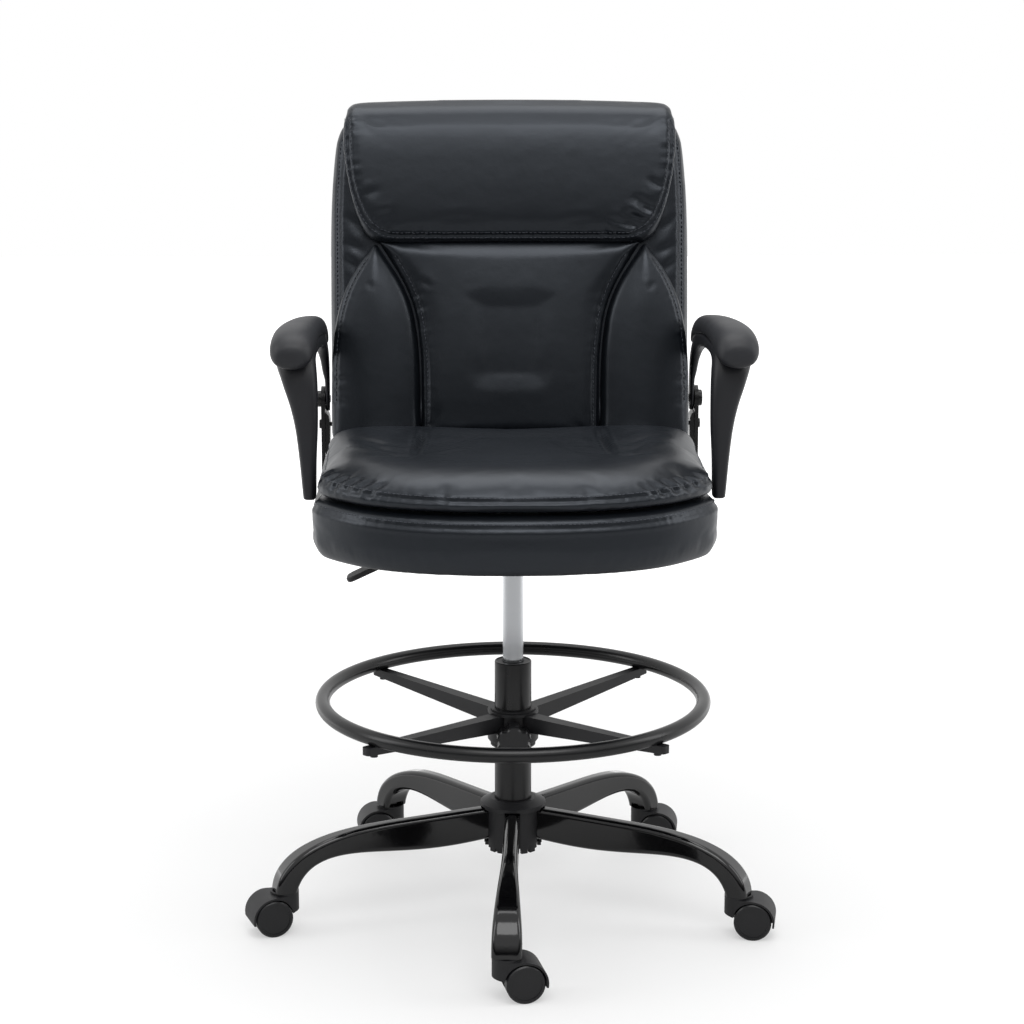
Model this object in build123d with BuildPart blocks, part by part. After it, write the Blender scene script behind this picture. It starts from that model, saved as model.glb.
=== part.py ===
from build123d import *

import os
from math import cos, radians, sin

# Drafting chair on a five-leg caster base: gas lift, foot ring, tilting seat
# and flip-up arms. Millimetres, +Z up, the origin on the floor on the column's
# axis, and the sitter faces -Y.

# Fits
running = 0.05              # radial play of a shaft that turns or slides
loose = 0.3                 # play between pieces that lie side by side
skin_gap = 0.4              # between one cushion and the next

# Twin-wheel casters
wheel_diameter = 50
wheel_width = 15.5
wheel_spacing = 16          # between the two wheels' inner rims
rim_wall = 4.5
wheel_web = 4
wheel_boss_diameter = 15
wheel_crown = 1.5
face_recess = 1
axle_diameter = 6
axle_cap = 2.5              # of the wheel left over the axle's end
caster_trail = 20
hood_wall = 2.6
hood_play = 1.6             # between a tread and the hood
hood_web = 9
hood_rear_edge = 19         # height of the hood's lower edge behind the wheels
hood_front_edge = 31
neck_diameter = 38
neck_top = 57
neck_recess = 3
stem_boss_diameter = 15
stem_diameter = 11
stem_reach = 23             # above the neck, into the leg's socket
stem_seat = 30              # below the neck, in the hood

# Five-leg base
leg_count = 5
leg_circle = 320            # radius of the caster stems
leg_waist_inset = 110       # from the caster stem in to the slimmest part of a leg
base_turn = -2.6            # degrees that the front leg stands off -Y
leg_root_z = 127
leg_root_height = 41
leg_root_width = 20.5
leg_waist_height = 33       # where the leg starts to bend down
leg_mouth_width = 38.5
leg_mouth_depth = 29
leg_round = 7
leg_wall = 2.4
socket_diameter = 22
hub_diameter = 62
hub_bottom = 92
hub_height = 56
cover_diameter = 79
cover_lip_diameter = 89
cover_top = 158
cover_wall = 2.5
cover_lip = 6
tab_width = 9
tab_drop = 5

# Column and gas lift
column_diameter = 50
column_wall = 2
column_top = 351
column_floor = 6
taper_length = 56
taper_drop = 1.2            # loss of radius over the tapered foot
cylinder_diameter = 28
cylinder_wall = 3
cylinder_bottom = 212
cylinder_top = 496
cylinder_head = 30          # solid end that holds the valve
cylinder_foot = 12
bush_length = 70
bush_sink = 1
rod_diameter = 10
rod_top = 345
rod_tail = 5                # below the column's floor
piston_height = 10
race_diameter = 26
race_height = 2.5
ball_diameter = 4
clip_diameter = 17
clip_height = 1.6
valve_diameter = 8
valve_depth = 22
valve_stand = 6

# Tilt mechanism
housing_width = 104
housing_front = -124
housing_rear = 72
housing_floor = 484
housing_wall = 2.5
front_rise = 38             # of the floor over the tension knob
front_top = 527
pivot_top = 524
rear_top = 499
step_front = -78
step_rear = -50
sleeve_diameter = 38
sleeve_bottom = 478
sleeve_top = 494
pivot_y = -60
pivot_z = 514
pivot_diameter = 10
plate_bottom = 529
plate_thickness = 3
plate_width = 176
plate_front = -120
plate_rear = 112
ear_thickness = 2.5
ear_radius = 12
bolt_spacing_x = 152
bolt_spacing_y = 203
tension_y = -100
tension_diameter = 8
tension_head = 5
knob_diameter = 38
knob_height = 12
knob_bottom = 496
knob_cup = 8
knob_lobes = 8
spring_wire = 3
spring_diameter = 25
spring_turns = 3

# Height lever
lever_diameter = 8
lever_pivot_x = -52
lever_inner = 16            # of the rod past the valve
lever_bend_x = -100
lever_end_x = -190
lever_end_z = 484
block_length = 16
block_height = 12
block_width = 13
trunnion_diameter = 5
trunnion_length = 4
paddle_width = 34
paddle_length = 56
paddle_thickness = 7
paddle_fall = 25            # degrees below level
paddle_start = -172

# Seat
seat_width = 505
seat_front = -270
seat_rear = 225
seat_bow = 30               # how far the front edge bulges
cushion_bottom = 531
cushion_height = 75
cushion_round = 24
corner_radius = 55
pan_thickness = 12
pan_inset = 14
pad_width = 501
pad_front = -264
pad_height = 34
pad_round = 13

# Backrest
back_width = 502
back_bottom = 611
back_front = 165            # front face at the bottom
back_lean = 9.1             # degrees from upright
back_length = 470           # along the lean
back_depth = 74
back_corner = 36
panel_thickness = 14
panel_inset = 12
roll_width = 462
roll_bottom_width = 396
roll_length = 196
roll_depth = 24
roll_cap = 12               # of the roll over the backrest's top
centre_width = 244
centre_top_width = 366
centre_depth = 16
bolster_depth = 20
bolster_channel = 5
bolster_shoulder = 70       # from the bolster's tip down to its full width

# Side brackets and flip-up arms
bracket_gap = 8             # from the wider cushion's side to the bracket
bracket_thickness = 5.5
bracket_width = 36
bracket_foot_z = 549
bracket_foot_y = 8
bracket_bend = 45
arm_pivot_y = 212
arm_pivot_z = 676
arm_bolt_diameter = 10
arm_bolt_head = 23
arm_bolt_head_height = 6
screw_diameter = 6
screw_head = 13
screw_head_height = 3.5
screw_bite = 18
arm_side_play = 1.5         # from the cushions' sides to the rear post
rear_post_thickness = 10
rear_post_width = 34
arm_top = 819
arm_width = 56
arm_step = 1                # the front post stands this far outside the rear one
arm_pad_thickness = 30
arm_pad_round = 6
arm_nose = 26
arm_front = -140
front_post_end_z = 602
front_post_width = 17.5
front_post_depth = 36
front_post_y = -96

# Foot ring
ring_radius = 258
ring_tube_diameter = 19.5
ring_tube_wall = 1.5
ring_z = 298
ring_hub_diameter = 69
ring_hub_bottom = 236
ring_hub_top = 283
ring_flange = 4
ring_waist_diameter = 60
ring_skirt = 26
slider_wall = 3
slider_lip = 2.5
spoke_count = 4
spoke_root_height = 24
spoke_root_width = 22
spoke_tip_height = 11
spoke_tip_width = 14
spoke_over = 16             # past the ring's centre line
spoke_wall = 3
clamp_z = 252
clamp_diameter = 47
clamp_length = 22
clamp_lobes = 6
clamp_boss_diameter = 26
clamp_boss = 6
stud_diameter = 8
ring_screw_diameter = 5
ring_screw_head = 10
ring_screw_head_height = 3

# Worked out from the sizes above
wheel_radius = wheel_diameter / 2
hood_inner = wheel_radius + hood_play
hood_outer = hood_inner + hood_wall
hood_half = wheel_spacing / 2 + wheel_width
hub_radius = hub_diameter / 2
hub_top = hub_bottom + hub_height
column_radius = column_diameter / 2
cylinder_radius = cylinder_diameter / 2
rod_radius = rod_diameter / 2
housing_half = housing_width / 2
front_floor = housing_floor + front_rise
ear_inner = housing_half + loose
lever_radius = lever_diameter / 2
lever_z = cylinder_top + valve_stand + loose + lever_radius
plate_top = plate_bottom + plate_thickness
seat_half = seat_width / 2
side_face = max(seat_width, back_width) / 2
cushion_top = cushion_bottom + cushion_height
pad_bottom = cushion_top + skin_gap
bracket_x = side_face + bracket_gap
bracket_outer = bracket_x + bracket_thickness
spoke_angles = [45 + 360 / spoke_count * number for number in range(spoke_count)]
leg_angles = [base_turn - 90 + 360 / leg_count * number for number in range(leg_count)]
caster_turns = [11, 350, 353, 187, 200]

os.makedirs("parts", exist_ok=True)


def write(shape, name):
    shape.label = name
    export_step(shape, f"parts/{name}.step")


def facing(piece, way):
    """The face of a piece that looks most nearly one way."""
    return piece.faces().sort_by(lambda face: face.normal_at().dot(Vector(way)))[-1]


# Base: a welded tube hub and five drawn tube legs. A leg is tall and narrow at the
# hub and is pressed flat and wide where it bends down over its caster's socket.
mouth_z = neck_top + loose
mouth_inner = leg_circle - leg_mouth_depth / 2
mouth_outer = leg_circle + leg_mouth_depth / 2
root_top = leg_root_z + leg_root_height / 2
root_bottom = leg_root_z - leg_root_height / 2
waist_radius = leg_circle - leg_waist_inset
waist_top = root_top - 12
waist_bottom = waist_top - leg_waist_height


# Leg sections from hub to mouth: top x and z, underside x and z, and width
leg_stations = (
    (0, root_top, 0, root_bottom, leg_root_width),
    (waist_radius * 0.29, root_top - 2, waist_radius * 0.29, root_bottom - 7, leg_root_width),
    (waist_radius * 0.71, waist_top + 5, waist_radius * 0.71, waist_bottom - 6, leg_root_width),
    (waist_radius * 1.12, waist_top - 4, waist_radius * 1.09, waist_bottom - 2, leg_root_width + 5),
    (mouth_outer - 32, waist_top - 29, mouth_inner - 26, waist_bottom - 12, leg_mouth_width - 4),
    (mouth_outer, mouth_z, mouth_inner, mouth_z, leg_mouth_width),
)


def leg_loft(inset):
    """The leg's skin, drawn in by the inset."""
    with BuildPart() as skin:
        for top_x, top_z, low_x, low_z, width in leg_stations:
            middle = ((top_x + low_x) / 2, 0, (top_z + low_z) / 2)
            rise = Vector(top_x - low_x, 0, top_z - low_z)
            along = Vector(0, 1, 0).cross(rise)
            with BuildSketch(Plane(origin=middle, x_dir=rise, z_dir=along)):
                RectangleRounded(rise.length - 2 * inset, width - 2 * inset, leg_round - inset)
        loft()
    return skin.part


with BuildPart() as base_hub:
    with BuildSketch(Plane.XY.offset(hub_bottom)):
        Circle(hub_radius)
    extrude(amount=hub_height)
    with BuildSketch(Plane.XZ):
        with BuildLine():
            Polyline(
                (0, hub_bottom),
                (column_radius - taper_drop, hub_bottom),
                (column_radius, hub_bottom + taper_length),
                (0, hub_bottom + taper_length),
                close=True,
            )
        make_face()
    revolve(axis=Axis.Z, mode=Mode.SUBTRACT)
write(base_hub.part, "base_hub")

leg_skin = leg_loft(0)

with BuildPart() as mouth_hollow:
    add(leg_loft(leg_wall))
    with BuildSketch(Plane.XY.offset(mouth_z)):
        with Locations((leg_circle - 8, 0)):
            Rectangle(2 * leg_mouth_depth, leg_mouth_width)
    extrude(amount=2 * leg_round + stem_reach, mode=Mode.INTERSECT)

with BuildPart() as stem_socket:
    with BuildSketch(Plane.XY.offset(mouth_z)):
        with Locations((leg_circle, 0)):
            Circle(socket_diameter / 2)
    extrude(amount=stem_reach + leg_wall)
    add(leg_skin, mode=Mode.INTERSECT)

with BuildPart() as leg:
    add(leg_skin)
    add(mouth_hollow.part, mode=Mode.SUBTRACT)
    # The mouth's inner side is arched open round the socket
    with BuildSketch(Plane.YZ.offset(mouth_inner - leg_wall)):
        with Locations((0, mouth_z)):
            Circle(socket_diameter / 2 + 1)
    extrude(amount=leg_mouth_depth / 3, mode=Mode.SUBTRACT)
    add(stem_socket.part)
    with BuildSketch(Plane.XY.offset(mouth_z)):
        with Locations((leg_circle, 0)):
            Circle(stem_diameter / 2 + running)
    extrude(amount=stem_reach, mode=Mode.SUBTRACT)
    with BuildSketch(Plane.XY):
        Circle(hub_radius)
    extrude(amount=cover_top, mode=Mode.SUBTRACT)

for number, angle in enumerate(leg_angles):
    write(leg.part.rotate(Axis.Z, angle), f"leg_{number + 1}")

# The moulded cover over the welds: a cone, a lip and a skirt with a slot for each
# leg, held by two snap tabs beside every slot.
cover_inner = cover_diameter / 2 - cover_wall
skirt_top = cover_top - cover_lip - 6
with BuildPart() as hub_cover:
    with BuildSketch(Plane.XZ):
        with BuildLine():
            Polyline(
                (column_radius + loose, cover_top),
                (column_radius + 6, cover_top),
                (cover_lip_diameter / 2, skirt_top + cover_lip),
                (cover_lip_diameter / 2, skirt_top),
                (cover_diameter / 2, skirt_top - 2),
                (cover_diameter / 2, hub_bottom),
                (cover_inner, hub_bottom),
                (cover_inner, hub_top + loose),
                (column_radius + loose, hub_top + loose),
                close=True,
            )
        make_face()
    revolve(axis=Axis.Z)
    for angle in leg_angles:
        slot = Plane(origin=(0, 0, 0), x_dir=(cos(radians(angle)), sin(radians(angle)), 0))
        with BuildSketch(slot):
            with Locations((cover_diameter / 2, 0)):
                Rectangle(cover_diameter / 2, leg_root_width + 2 * loose)
        extrude(amount=root_top + loose, mode=Mode.SUBTRACT)
    # Snap tabs hook under the skirt on both sides of every leg
    for angle in leg_angles:
        for side in (-1, 1):
            turn = angle + side * 26
            tab = Plane(
                origin=(0, 0, hub_bottom - tab_drop),
                x_dir=(cos(radians(turn)), sin(radians(turn)), 0),
            )
            with BuildSketch(tab):
                with Locations((cover_inner - cover_wall / 2, 0)):
                    Rectangle(2 * cover_wall, tab_width)
            extrude(amount=tab_drop)
write(hub_cover.part, "hub_cover")

# Casters: each is built about its stem's axis with the wheels trailing along +X
trail_spot = (caster_trail, wheel_radius)

with BuildPart() as hood:
    with BuildSketch(Plane.XY):
        Circle(neck_diameter / 2)
        with Locations((caster_trail + hood_outer - hood_half / 2, 0)):
            Rectangle(hood_half, 2 * hood_half)
        make_hull()
    extrude(amount=neck_top)
    with BuildSketch(Plane.XZ.offset(-hood_half)):
        with Locations(trail_spot):
            Circle(hood_outer)
        with BuildLine():
            Polyline(
                (-neck_diameter / 2, hood_front_edge),
                (-neck_diameter / 2, wheel_radius + hood_outer),
                (caster_trail, wheel_radius + hood_outer),
                (caster_trail, wheel_radius),
                close=True,
            )
        make_face()
        with BuildLine():
            Polyline(
                (-neck_diameter / 2, hood_front_edge),
                (caster_trail + hood_outer, hood_rear_edge),
                (caster_trail + hood_outer, -hood_outer),
                (-neck_diameter / 2, -hood_outer),
                close=True,
            )
        make_face(mode=Mode.SUBTRACT)
    extrude(amount=2 * hood_half, mode=Mode.INTERSECT)
    with BuildSketch(Plane.XY.offset(wheel_radius + hood_inner)):
        Circle(neck_diameter / 2)
    extrude(amount=neck_top - wheel_radius - hood_inner)
    for side in (-1, 1):
        with BuildSketch(Plane.XZ.offset(side * hood_web / 2)):
            with Locations(trail_spot):
                Circle(hood_inner)
        extrude(amount=side * hood_half, mode=Mode.SUBTRACT)
    # The web between the wheels carries the axle and the stem's boss
    with BuildSketch(Plane.XZ.offset(-hood_web / 2)):
        with Locations(trail_spot):
            Circle(axle_diameter)
    extrude(amount=hood_web)
    with BuildSketch(Plane.XY.offset(neck_top - stem_seat - hood_wall)):
        Circle(stem_boss_diameter / 2)
    extrude(amount=stem_seat)
    with BuildSketch(Plane.XY.offset(neck_top - neck_recess)):
        Circle(neck_diameter / 2 - hood_wall)
        Circle(stem_boss_diameter / 2, mode=Mode.SUBTRACT)
    extrude(amount=neck_recess, mode=Mode.SUBTRACT)
    with BuildSketch(Plane.XY.offset(neck_top - stem_seat)):
        Circle(stem_diameter / 2)
    extrude(amount=stem_seat, mode=Mode.SUBTRACT)
    with BuildSketch(Plane.XZ.offset(-hood_half)):
        with Locations(trail_spot):
            Circle(axle_diameter / 2)
    extrude(amount=2 * hood_half, mode=Mode.SUBTRACT)

axle_half = hood_half - axle_cap
with BuildPart() as pins:
    with BuildSketch(Plane.XY.offset(neck_top - stem_seat)):
        Circle(stem_diameter / 2)
    extrude(amount=stem_seat + stem_reach - loose)
    chamfer(pins.edges().group_by(Axis.Z)[-1], 1)
    with BuildSketch(Plane.XZ.offset(-axle_half)):
        with Locations(trail_spot):
            Circle(axle_diameter / 2)
    extrude(amount=2 * axle_half)


def wheel(side):
    """One of the twin wheels, on the +Y or the -Y side of the web."""
    inner = wheel_spacing / 2
    outer = inner + wheel_width
    boss = hood_web / 2 + loose
    bore = axle_diameter / 2 + running
    with BuildPart() as disc:
        with BuildSketch(Plane.XY):
            with BuildLine():
                Polyline(
                    (caster_trail + bore, boss),
                    (caster_trail + wheel_boss_diameter / 2, boss),
                    (caster_trail + wheel_boss_diameter / 2, outer - wheel_web),
                    (caster_trail + wheel_radius - rim_wall, outer - wheel_web),
                    (caster_trail + wheel_radius - rim_wall, inner),
                    (caster_trail + wheel_radius, inner),
                    (caster_trail + wheel_radius, outer - wheel_crown),
                    (caster_trail + wheel_radius - wheel_crown, outer),
                    (caster_trail + wheel_radius - rim_wall, outer),
                    (caster_trail + wheel_radius - rim_wall, outer - face_recess),
                    (caster_trail, outer - face_recess),
                    (caster_trail, axle_half + loose),
                    (caster_trail + bore, axle_half + loose),
                    close=True,
                )
            make_face()
        revolve(axis=Axis((caster_trail, 0, 0), (0, 1, 0)))
    standing = disc.part.moved(Location((0, 0, wheel_radius)))
    return standing if side > 0 else standing.mirror(Plane.XZ)


twin_wheels = {"a": wheel(1), "b": wheel(-1)}
for number, angle in enumerate(leg_angles):
    stem = Location((leg_circle * cos(radians(angle)), leg_circle * sin(radians(angle)), 0))
    place = stem * Location((0, 0, 0), (0, 0, caster_turns[number]))
    write(hood.part.moved(place), f"caster_{number + 1}_hood")
    write(pins.part.moved(place), f"caster_{number + 1}_pins")
    for side, disc in twin_wheels.items():
        write(disc.moved(place), f"caster_{number + 1}_wheel_{side}")

# Column: a painted tube whose tapered foot is pressed into the hub
column_bore = column_radius - column_wall
floor_top = hub_bottom + column_floor
with BuildPart() as column_tube:
    with BuildSketch(Plane.XZ):
        with BuildLine():
            Polyline(
                (rod_radius + running, hub_bottom),
                (column_radius - taper_drop, hub_bottom),
                (column_radius, hub_bottom + taper_length),
                (column_radius, column_top - bush_sink),
                (column_radius - bush_sink, column_top),
                (column_bore, column_top),
                (column_bore, floor_top),
                (rod_radius + running, floor_top),
                close=True,
            )
        make_face()
    revolve(axis=Axis.Z)
write(column_tube.part, "column_tube")

with BuildPart() as column_bush:
    with BuildSketch(Plane.XY.offset(column_top - bush_sink - bush_length)):
        Circle(column_bore)
        Circle(cylinder_radius + running, mode=Mode.SUBTRACT)
    extrude(amount=bush_length)
    chamfer(column_bush.edges().group_by(Axis.Z)[-1].sort_by(SortBy.LENGTH)[0], 2)
write(column_bush.part, "column_bush")

with BuildPart() as piston_rod:
    with BuildSketch(Plane.XY.offset(hub_bottom - rod_tail)):
        Circle(rod_radius)
    extrude(amount=rod_top - hub_bottom + rod_tail)
    with BuildSketch(Plane.XY.offset(rod_top - piston_height)):
        Circle(cylinder_radius - cylinder_wall - running)
    extrude(amount=piston_height)
write(piston_rod.part, "piston_rod")

# The thrust bearing's two races and ball cage stand on the column's floor, and a
# clip below the floor keeps the rod from lifting out.
with BuildPart() as thrust_bearing:
    for lift in (running, 2 * running + race_height + ball_diameter):
        with BuildSketch(Plane.XY.offset(floor_top + lift)):
            Circle(race_diameter / 2)
            Circle(rod_radius, mode=Mode.SUBTRACT)
        extrude(amount=race_height)
    cage = Plane.XY.offset(floor_top + running + race_height + (ball_diameter + running) / 2)
    with BuildSketch(cage.offset(-ball_diameter / 4)):
        Circle(race_diameter / 2 - 1)
        Circle(rod_radius, mode=Mode.SUBTRACT)
    extrude(amount=ball_diameter / 2)
    with BuildSketch(Plane.XY.offset(hub_bottom - running - clip_height)):
        Circle(clip_diameter / 2)
        Circle(rod_radius, mode=Mode.SUBTRACT)
    extrude(amount=clip_height)
write(thrust_bearing.part, "thrust_bearing")

with BuildPart() as gas_cylinder:
    with BuildSketch(Plane.XZ):
        with BuildLine():
            Polyline(
                (rod_radius + running, cylinder_bottom),
                (cylinder_radius, cylinder_bottom),
                (cylinder_radius, cylinder_top),
                (valve_diameter / 2 + running, cylinder_top),
                (valve_diameter / 2 + running, cylinder_top - cylinder_head),
                (cylinder_radius - cylinder_wall, cylinder_top - cylinder_head),
                (cylinder_radius - cylinder_wall, cylinder_bottom + cylinder_foot),
                (rod_radius + running, cylinder_bottom + cylinder_foot),
                close=True,
            )
        make_face()
    revolve(axis=Axis.Z)
write(gas_cylinder.part, "gas_cylinder")

with BuildPart() as valve_button:
    with BuildSketch(Plane.XY.offset(cylinder_top - valve_depth)):
        Circle(valve_diameter / 2)
    extrude(amount=valve_depth + valve_stand)
write(valve_button.part, "valve_button")

# Foot ring: a plastic sleeve slides on the column, the clamp knob's stud holds it,
# and four channel spokes carry the ring from below.
slider_radius = column_radius + running + slider_wall
with BuildPart() as ring_sleeve:
    with BuildSketch(Plane.XY.offset(ring_hub_bottom)):
        Circle(slider_radius)
        Circle(column_radius + running, mode=Mode.SUBTRACT)
    extrude(amount=ring_hub_top - ring_hub_bottom)
    for height in (ring_hub_bottom - slider_lip - running, ring_hub_top + running):
        with BuildSketch(Plane.XY.offset(height)):
            Circle(slider_radius + slider_lip)
            Circle(column_radius + running, mode=Mode.SUBTRACT)
        extrude(amount=slider_lip)
    for height in (ring_hub_bottom - running, ring_hub_top):
        with BuildSketch(Plane.XY.offset(height)):
            Circle(slider_radius)
            Circle(column_radius + running, mode=Mode.SUBTRACT)
        extrude(amount=running)
write(ring_sleeve.part, "ring_sleeve")

spoke_end = ring_radius + spoke_over
ring_seat = ring_z - ring_tube_diameter / 2
spoke_root_top = ring_hub_top - ring_flange
hub_hole = slider_radius + running


def spoke_outline(radius, inset):
    """A spoke's section at a radius, drawn in at its sides and top by the inset."""
    share = radius / ring_radius
    height = spoke_root_height + (spoke_tip_height - spoke_root_height) * share
    width = spoke_root_width + (spoke_tip_width - spoke_root_width) * share
    top = spoke_root_top + (ring_seat - spoke_root_top) * share
    with BuildSketch(Plane.YZ.offset(radius)) as section:
        with Locations((0, top - height / 2 - inset / 2)):
            Rectangle(width - 2 * inset, height - inset)
    return section.sketch


with BuildPart() as spoke:
    loft([spoke_outline(0, 0), spoke_outline(spoke_end, 0)])
    tip = spoke.edges().filter_by(Axis.Z).group_by(Axis.X)[-1]
    fillet(tip, spoke_tip_width / 3)
    loft(
        [spoke_outline(ring_hub_diameter / 2, spoke_wall), spoke_outline(ring_radius - 12, spoke_wall)],
        mode=Mode.SUBTRACT,
    )
    with BuildSketch(Plane.XY.offset(ring_seat - 2 * spoke_tip_height)):
        with Locations((ring_radius, 0)):
            Circle(ring_screw_diameter / 2 + running)
    extrude(amount=2 * spoke_tip_height, mode=Mode.SUBTRACT)

with BuildPart() as ring_hub:
    with BuildSketch(Plane.XZ):
        with BuildLine():
            Polyline(
                (0, ring_hub_bottom),
                (ring_waist_diameter / 2, ring_hub_bottom),
                (ring_hub_diameter / 2, ring_hub_bottom + 6),
                (ring_hub_diameter / 2, ring_hub_bottom + ring_skirt),
                (ring_waist_diameter / 2, ring_hub_bottom + ring_skirt + 3),
                (ring_waist_diameter / 2, ring_hub_top - ring_flange),
                (ring_hub_diameter / 2, ring_hub_top - ring_flange),
                (ring_hub_diameter / 2, ring_hub_top),
                (0, ring_hub_top),
                close=True,
            )
        make_face()
    revolve(axis=Axis.Z)
    for angle in spoke_angles:
        add(spoke.part.rotate(Axis.Z, angle))
    # The boss for the clamp's stud faces the front
    with BuildSketch(Plane.XZ.offset(ring_waist_diameter / 2 - 4)):
        with Locations((0, clamp_z)):
            Circle(clamp_boss_diameter / 2)
    extrude(amount=ring_hub_diameter / 2 - ring_waist_diameter / 2 + 4 + clamp_boss)
    with BuildSketch(Plane.XZ):
        with Locations((0, clamp_z)):
            Circle(stud_diameter / 2 + running)
    extrude(amount=ring_hub_diameter, mode=Mode.SUBTRACT)
    with BuildSketch(Plane.XY.offset(ring_hub_bottom - 1)):
        Circle(hub_hole)
    extrude(amount=ring_hub_top - ring_hub_bottom + 2, mode=Mode.SUBTRACT)
write(ring_hub.part, "ring_hub")

with BuildPart() as ring_tube:
    with BuildSketch(Plane.XZ):
        with Locations((ring_radius, ring_z)):
            Circle(ring_tube_diameter / 2)
    revolve(axis=Axis.Z)
    with BuildSketch(Plane.XY.offset(ring_seat - 1)):
        with PolarLocations(ring_radius, len(spoke_angles), start_angle=spoke_angles[0]):
            Circle(ring_screw_diameter / 2 + running)
    extrude(amount=ring_tube_diameter / 2, mode=Mode.SUBTRACT)
write(ring_tube.part, "ring_tube")

spoke_under = ring_seat - spoke_tip_height - 2 * loose
with BuildPart() as ring_screws:
    for angle in spoke_angles:
        spot = (ring_radius * cos(radians(angle)), ring_radius * sin(radians(angle)))
        with BuildSketch(Plane(origin=(spot[0], spot[1], spoke_under - ring_screw_head_height))):
            Circle(ring_screw_head / 2)
        extrude(amount=ring_screw_head_height)
        with BuildSketch(Plane(origin=(spot[0], spot[1], spoke_under))):
            Circle(ring_screw_diameter / 2)
        extrude(amount=spoke_tip_height + 2 * ring_tube_wall)
write(ring_screws.part, "ring_screws")

boss_face = ring_hub_diameter / 2 + clamp_boss
with BuildPart() as clamp_knob:
    with BuildSketch(Plane.XZ.offset(boss_face + loose)):
        with Locations((0, clamp_z)):
            Circle(clamp_diameter / 2)
            with PolarLocations(clamp_diameter / 2 + 3, clamp_lobes):
                Circle(7, mode=Mode.SUBTRACT)
    extrude(amount=clamp_length)
    chamfer(clamp_knob.faces().sort_by(Axis.Y)[0].edges(), 2)
    with BuildSketch(Plane.XZ.offset(slider_radius + loose)):
        with Locations((0, clamp_z)):
            Circle(stud_diameter / 2)
    extrude(amount=boss_face - slider_radius)
write(clamp_knob.part, "clamp_knob")

# Tilt mechanism: a pressed channel with a stepped floor, a sleeve on the cylinder's
# head, and a cross pin that the seat plate's ears turn on.
def channel_side(inset):
    """The channel seen from its side; drawn in, it is also open at the top."""
    lift = 60 if inset else 0
    with BuildSketch(Plane.YZ.offset(inset - housing_half)) as side:
        with BuildLine():
            Polyline(
                (housing_front + inset, front_floor + inset),
                (step_front + inset * 0.6, front_floor + inset),
                (step_rear + inset * 0.6, housing_floor + inset),
                (housing_rear - inset, housing_floor + inset),
                (housing_rear - inset, rear_top + lift),
                (pivot_y, pivot_top + lift),
                (housing_front + inset, front_top + lift),
                close=True,
            )
        make_face()
    return side.sketch


trunnion_reach = block_width / 2 + loose + trunnion_length
with BuildPart() as mechanism_housing:
    extrude(channel_side(0), amount=housing_width)
    extrude(
        channel_side(housing_wall),
        amount=housing_width - 2 * housing_wall,
        mode=Mode.SUBTRACT,
    )
    with BuildSketch(Plane.XY.offset(sleeve_bottom)):
        Circle(sleeve_diameter / 2)
    extrude(amount=sleeve_top - sleeve_bottom)
    with BuildSketch(Plane.XY.offset(sleeve_bottom)):
        Circle(cylinder_radius)
    extrude(amount=sleeve_top - sleeve_bottom, mode=Mode.SUBTRACT)
    with BuildSketch(Plane.YZ.offset(-ear_inner - ear_thickness - 1)):
        with Locations((pivot_y, pivot_z)):
            Circle(pivot_diameter / 2)
    extrude(amount=2 * (ear_inner + ear_thickness + 1))
    # The tension bolt swings with the seat, so its hole is a slot
    with BuildSketch(Plane.XY.offset(front_floor - 1)):
        with Locations((0, tension_y)):
            SlotOverall(3 * tension_diameter, 1.8 * tension_diameter, rotation=90)
    extrude(amount=housing_wall + 2, mode=Mode.SUBTRACT)
    # Lugs either side of a window in the wall carry the lever's trunnions
    with BuildSketch(Plane.XY.offset(lever_z - block_height / 2 - 2)):
        with Locations((lever_pivot_x, 0)):
            Rectangle(block_length, 2 * trunnion_reach)
    extrude(amount=block_height + 1)
    with BuildSketch(Plane.XY.offset(lever_z - block_height / 2 - 2)):
        with Locations((lever_pivot_x, 0)):
            Rectangle(block_length + 2, block_width + 2 * loose)
    extrude(amount=2 * block_height, mode=Mode.SUBTRACT)
    with BuildSketch(Plane.XZ.offset(-trunnion_reach)):
        with Locations((lever_pivot_x, lever_z)):
            Circle(trunnion_diameter / 2 + running)
    extrude(amount=2 * trunnion_reach, mode=Mode.SUBTRACT)
write(mechanism_housing.part, "mechanism_housing")

spring_top = front_floor
spring_foot = knob_bottom + knob_height - knob_cup
spring_radius = (spring_diameter - spring_wire) / 2
spring_pitch = (spring_top - spring_foot - spring_wire) / spring_turns
with BuildPart() as tension_spring:
    with BuildLine():
        Helix(
            pitch=spring_pitch,
            height=spring_turns * spring_pitch,
            radius=spring_radius,
            center=(0, tension_y, spring_foot + spring_wire / 2),
        )
    with BuildSketch(
        Plane(origin=(spring_radius, tension_y, spring_foot + spring_wire / 2), z_dir=(0, 1, 0))
    ):
        Rectangle(spring_wire, spring_wire)
    sweep(is_frenet=True)
write(tension_spring.part, "tension_spring")

with BuildPart() as tension_knob:
    with BuildSketch(Plane.XY.offset(knob_bottom)):
        with Locations((0, tension_y)):
            Circle(knob_diameter / 2)
            with PolarLocations(knob_diameter / 2 + 2, knob_lobes):
                Circle(4.5, mode=Mode.SUBTRACT)
    extrude(amount=knob_height)
    with BuildSketch(Plane.XY.offset(spring_foot)):
        with Locations((0, tension_y)):
            Circle(spring_diameter / 2 + loose)
    extrude(amount=knob_height, mode=Mode.SUBTRACT)
    with BuildSketch(Plane.XY.offset(spring_foot)):
        with Locations((0, tension_y)):
            Circle(tension_diameter / 2)
    extrude(amount=plate_top + running - spring_foot)
    with BuildSketch(Plane.XY.offset(plate_top + running)):
        with Locations((0, tension_y)):
            RegularPolygon(tension_diameter, 6)
    extrude(amount=tension_head)
write(tension_knob.part, "tension_knob")

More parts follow.
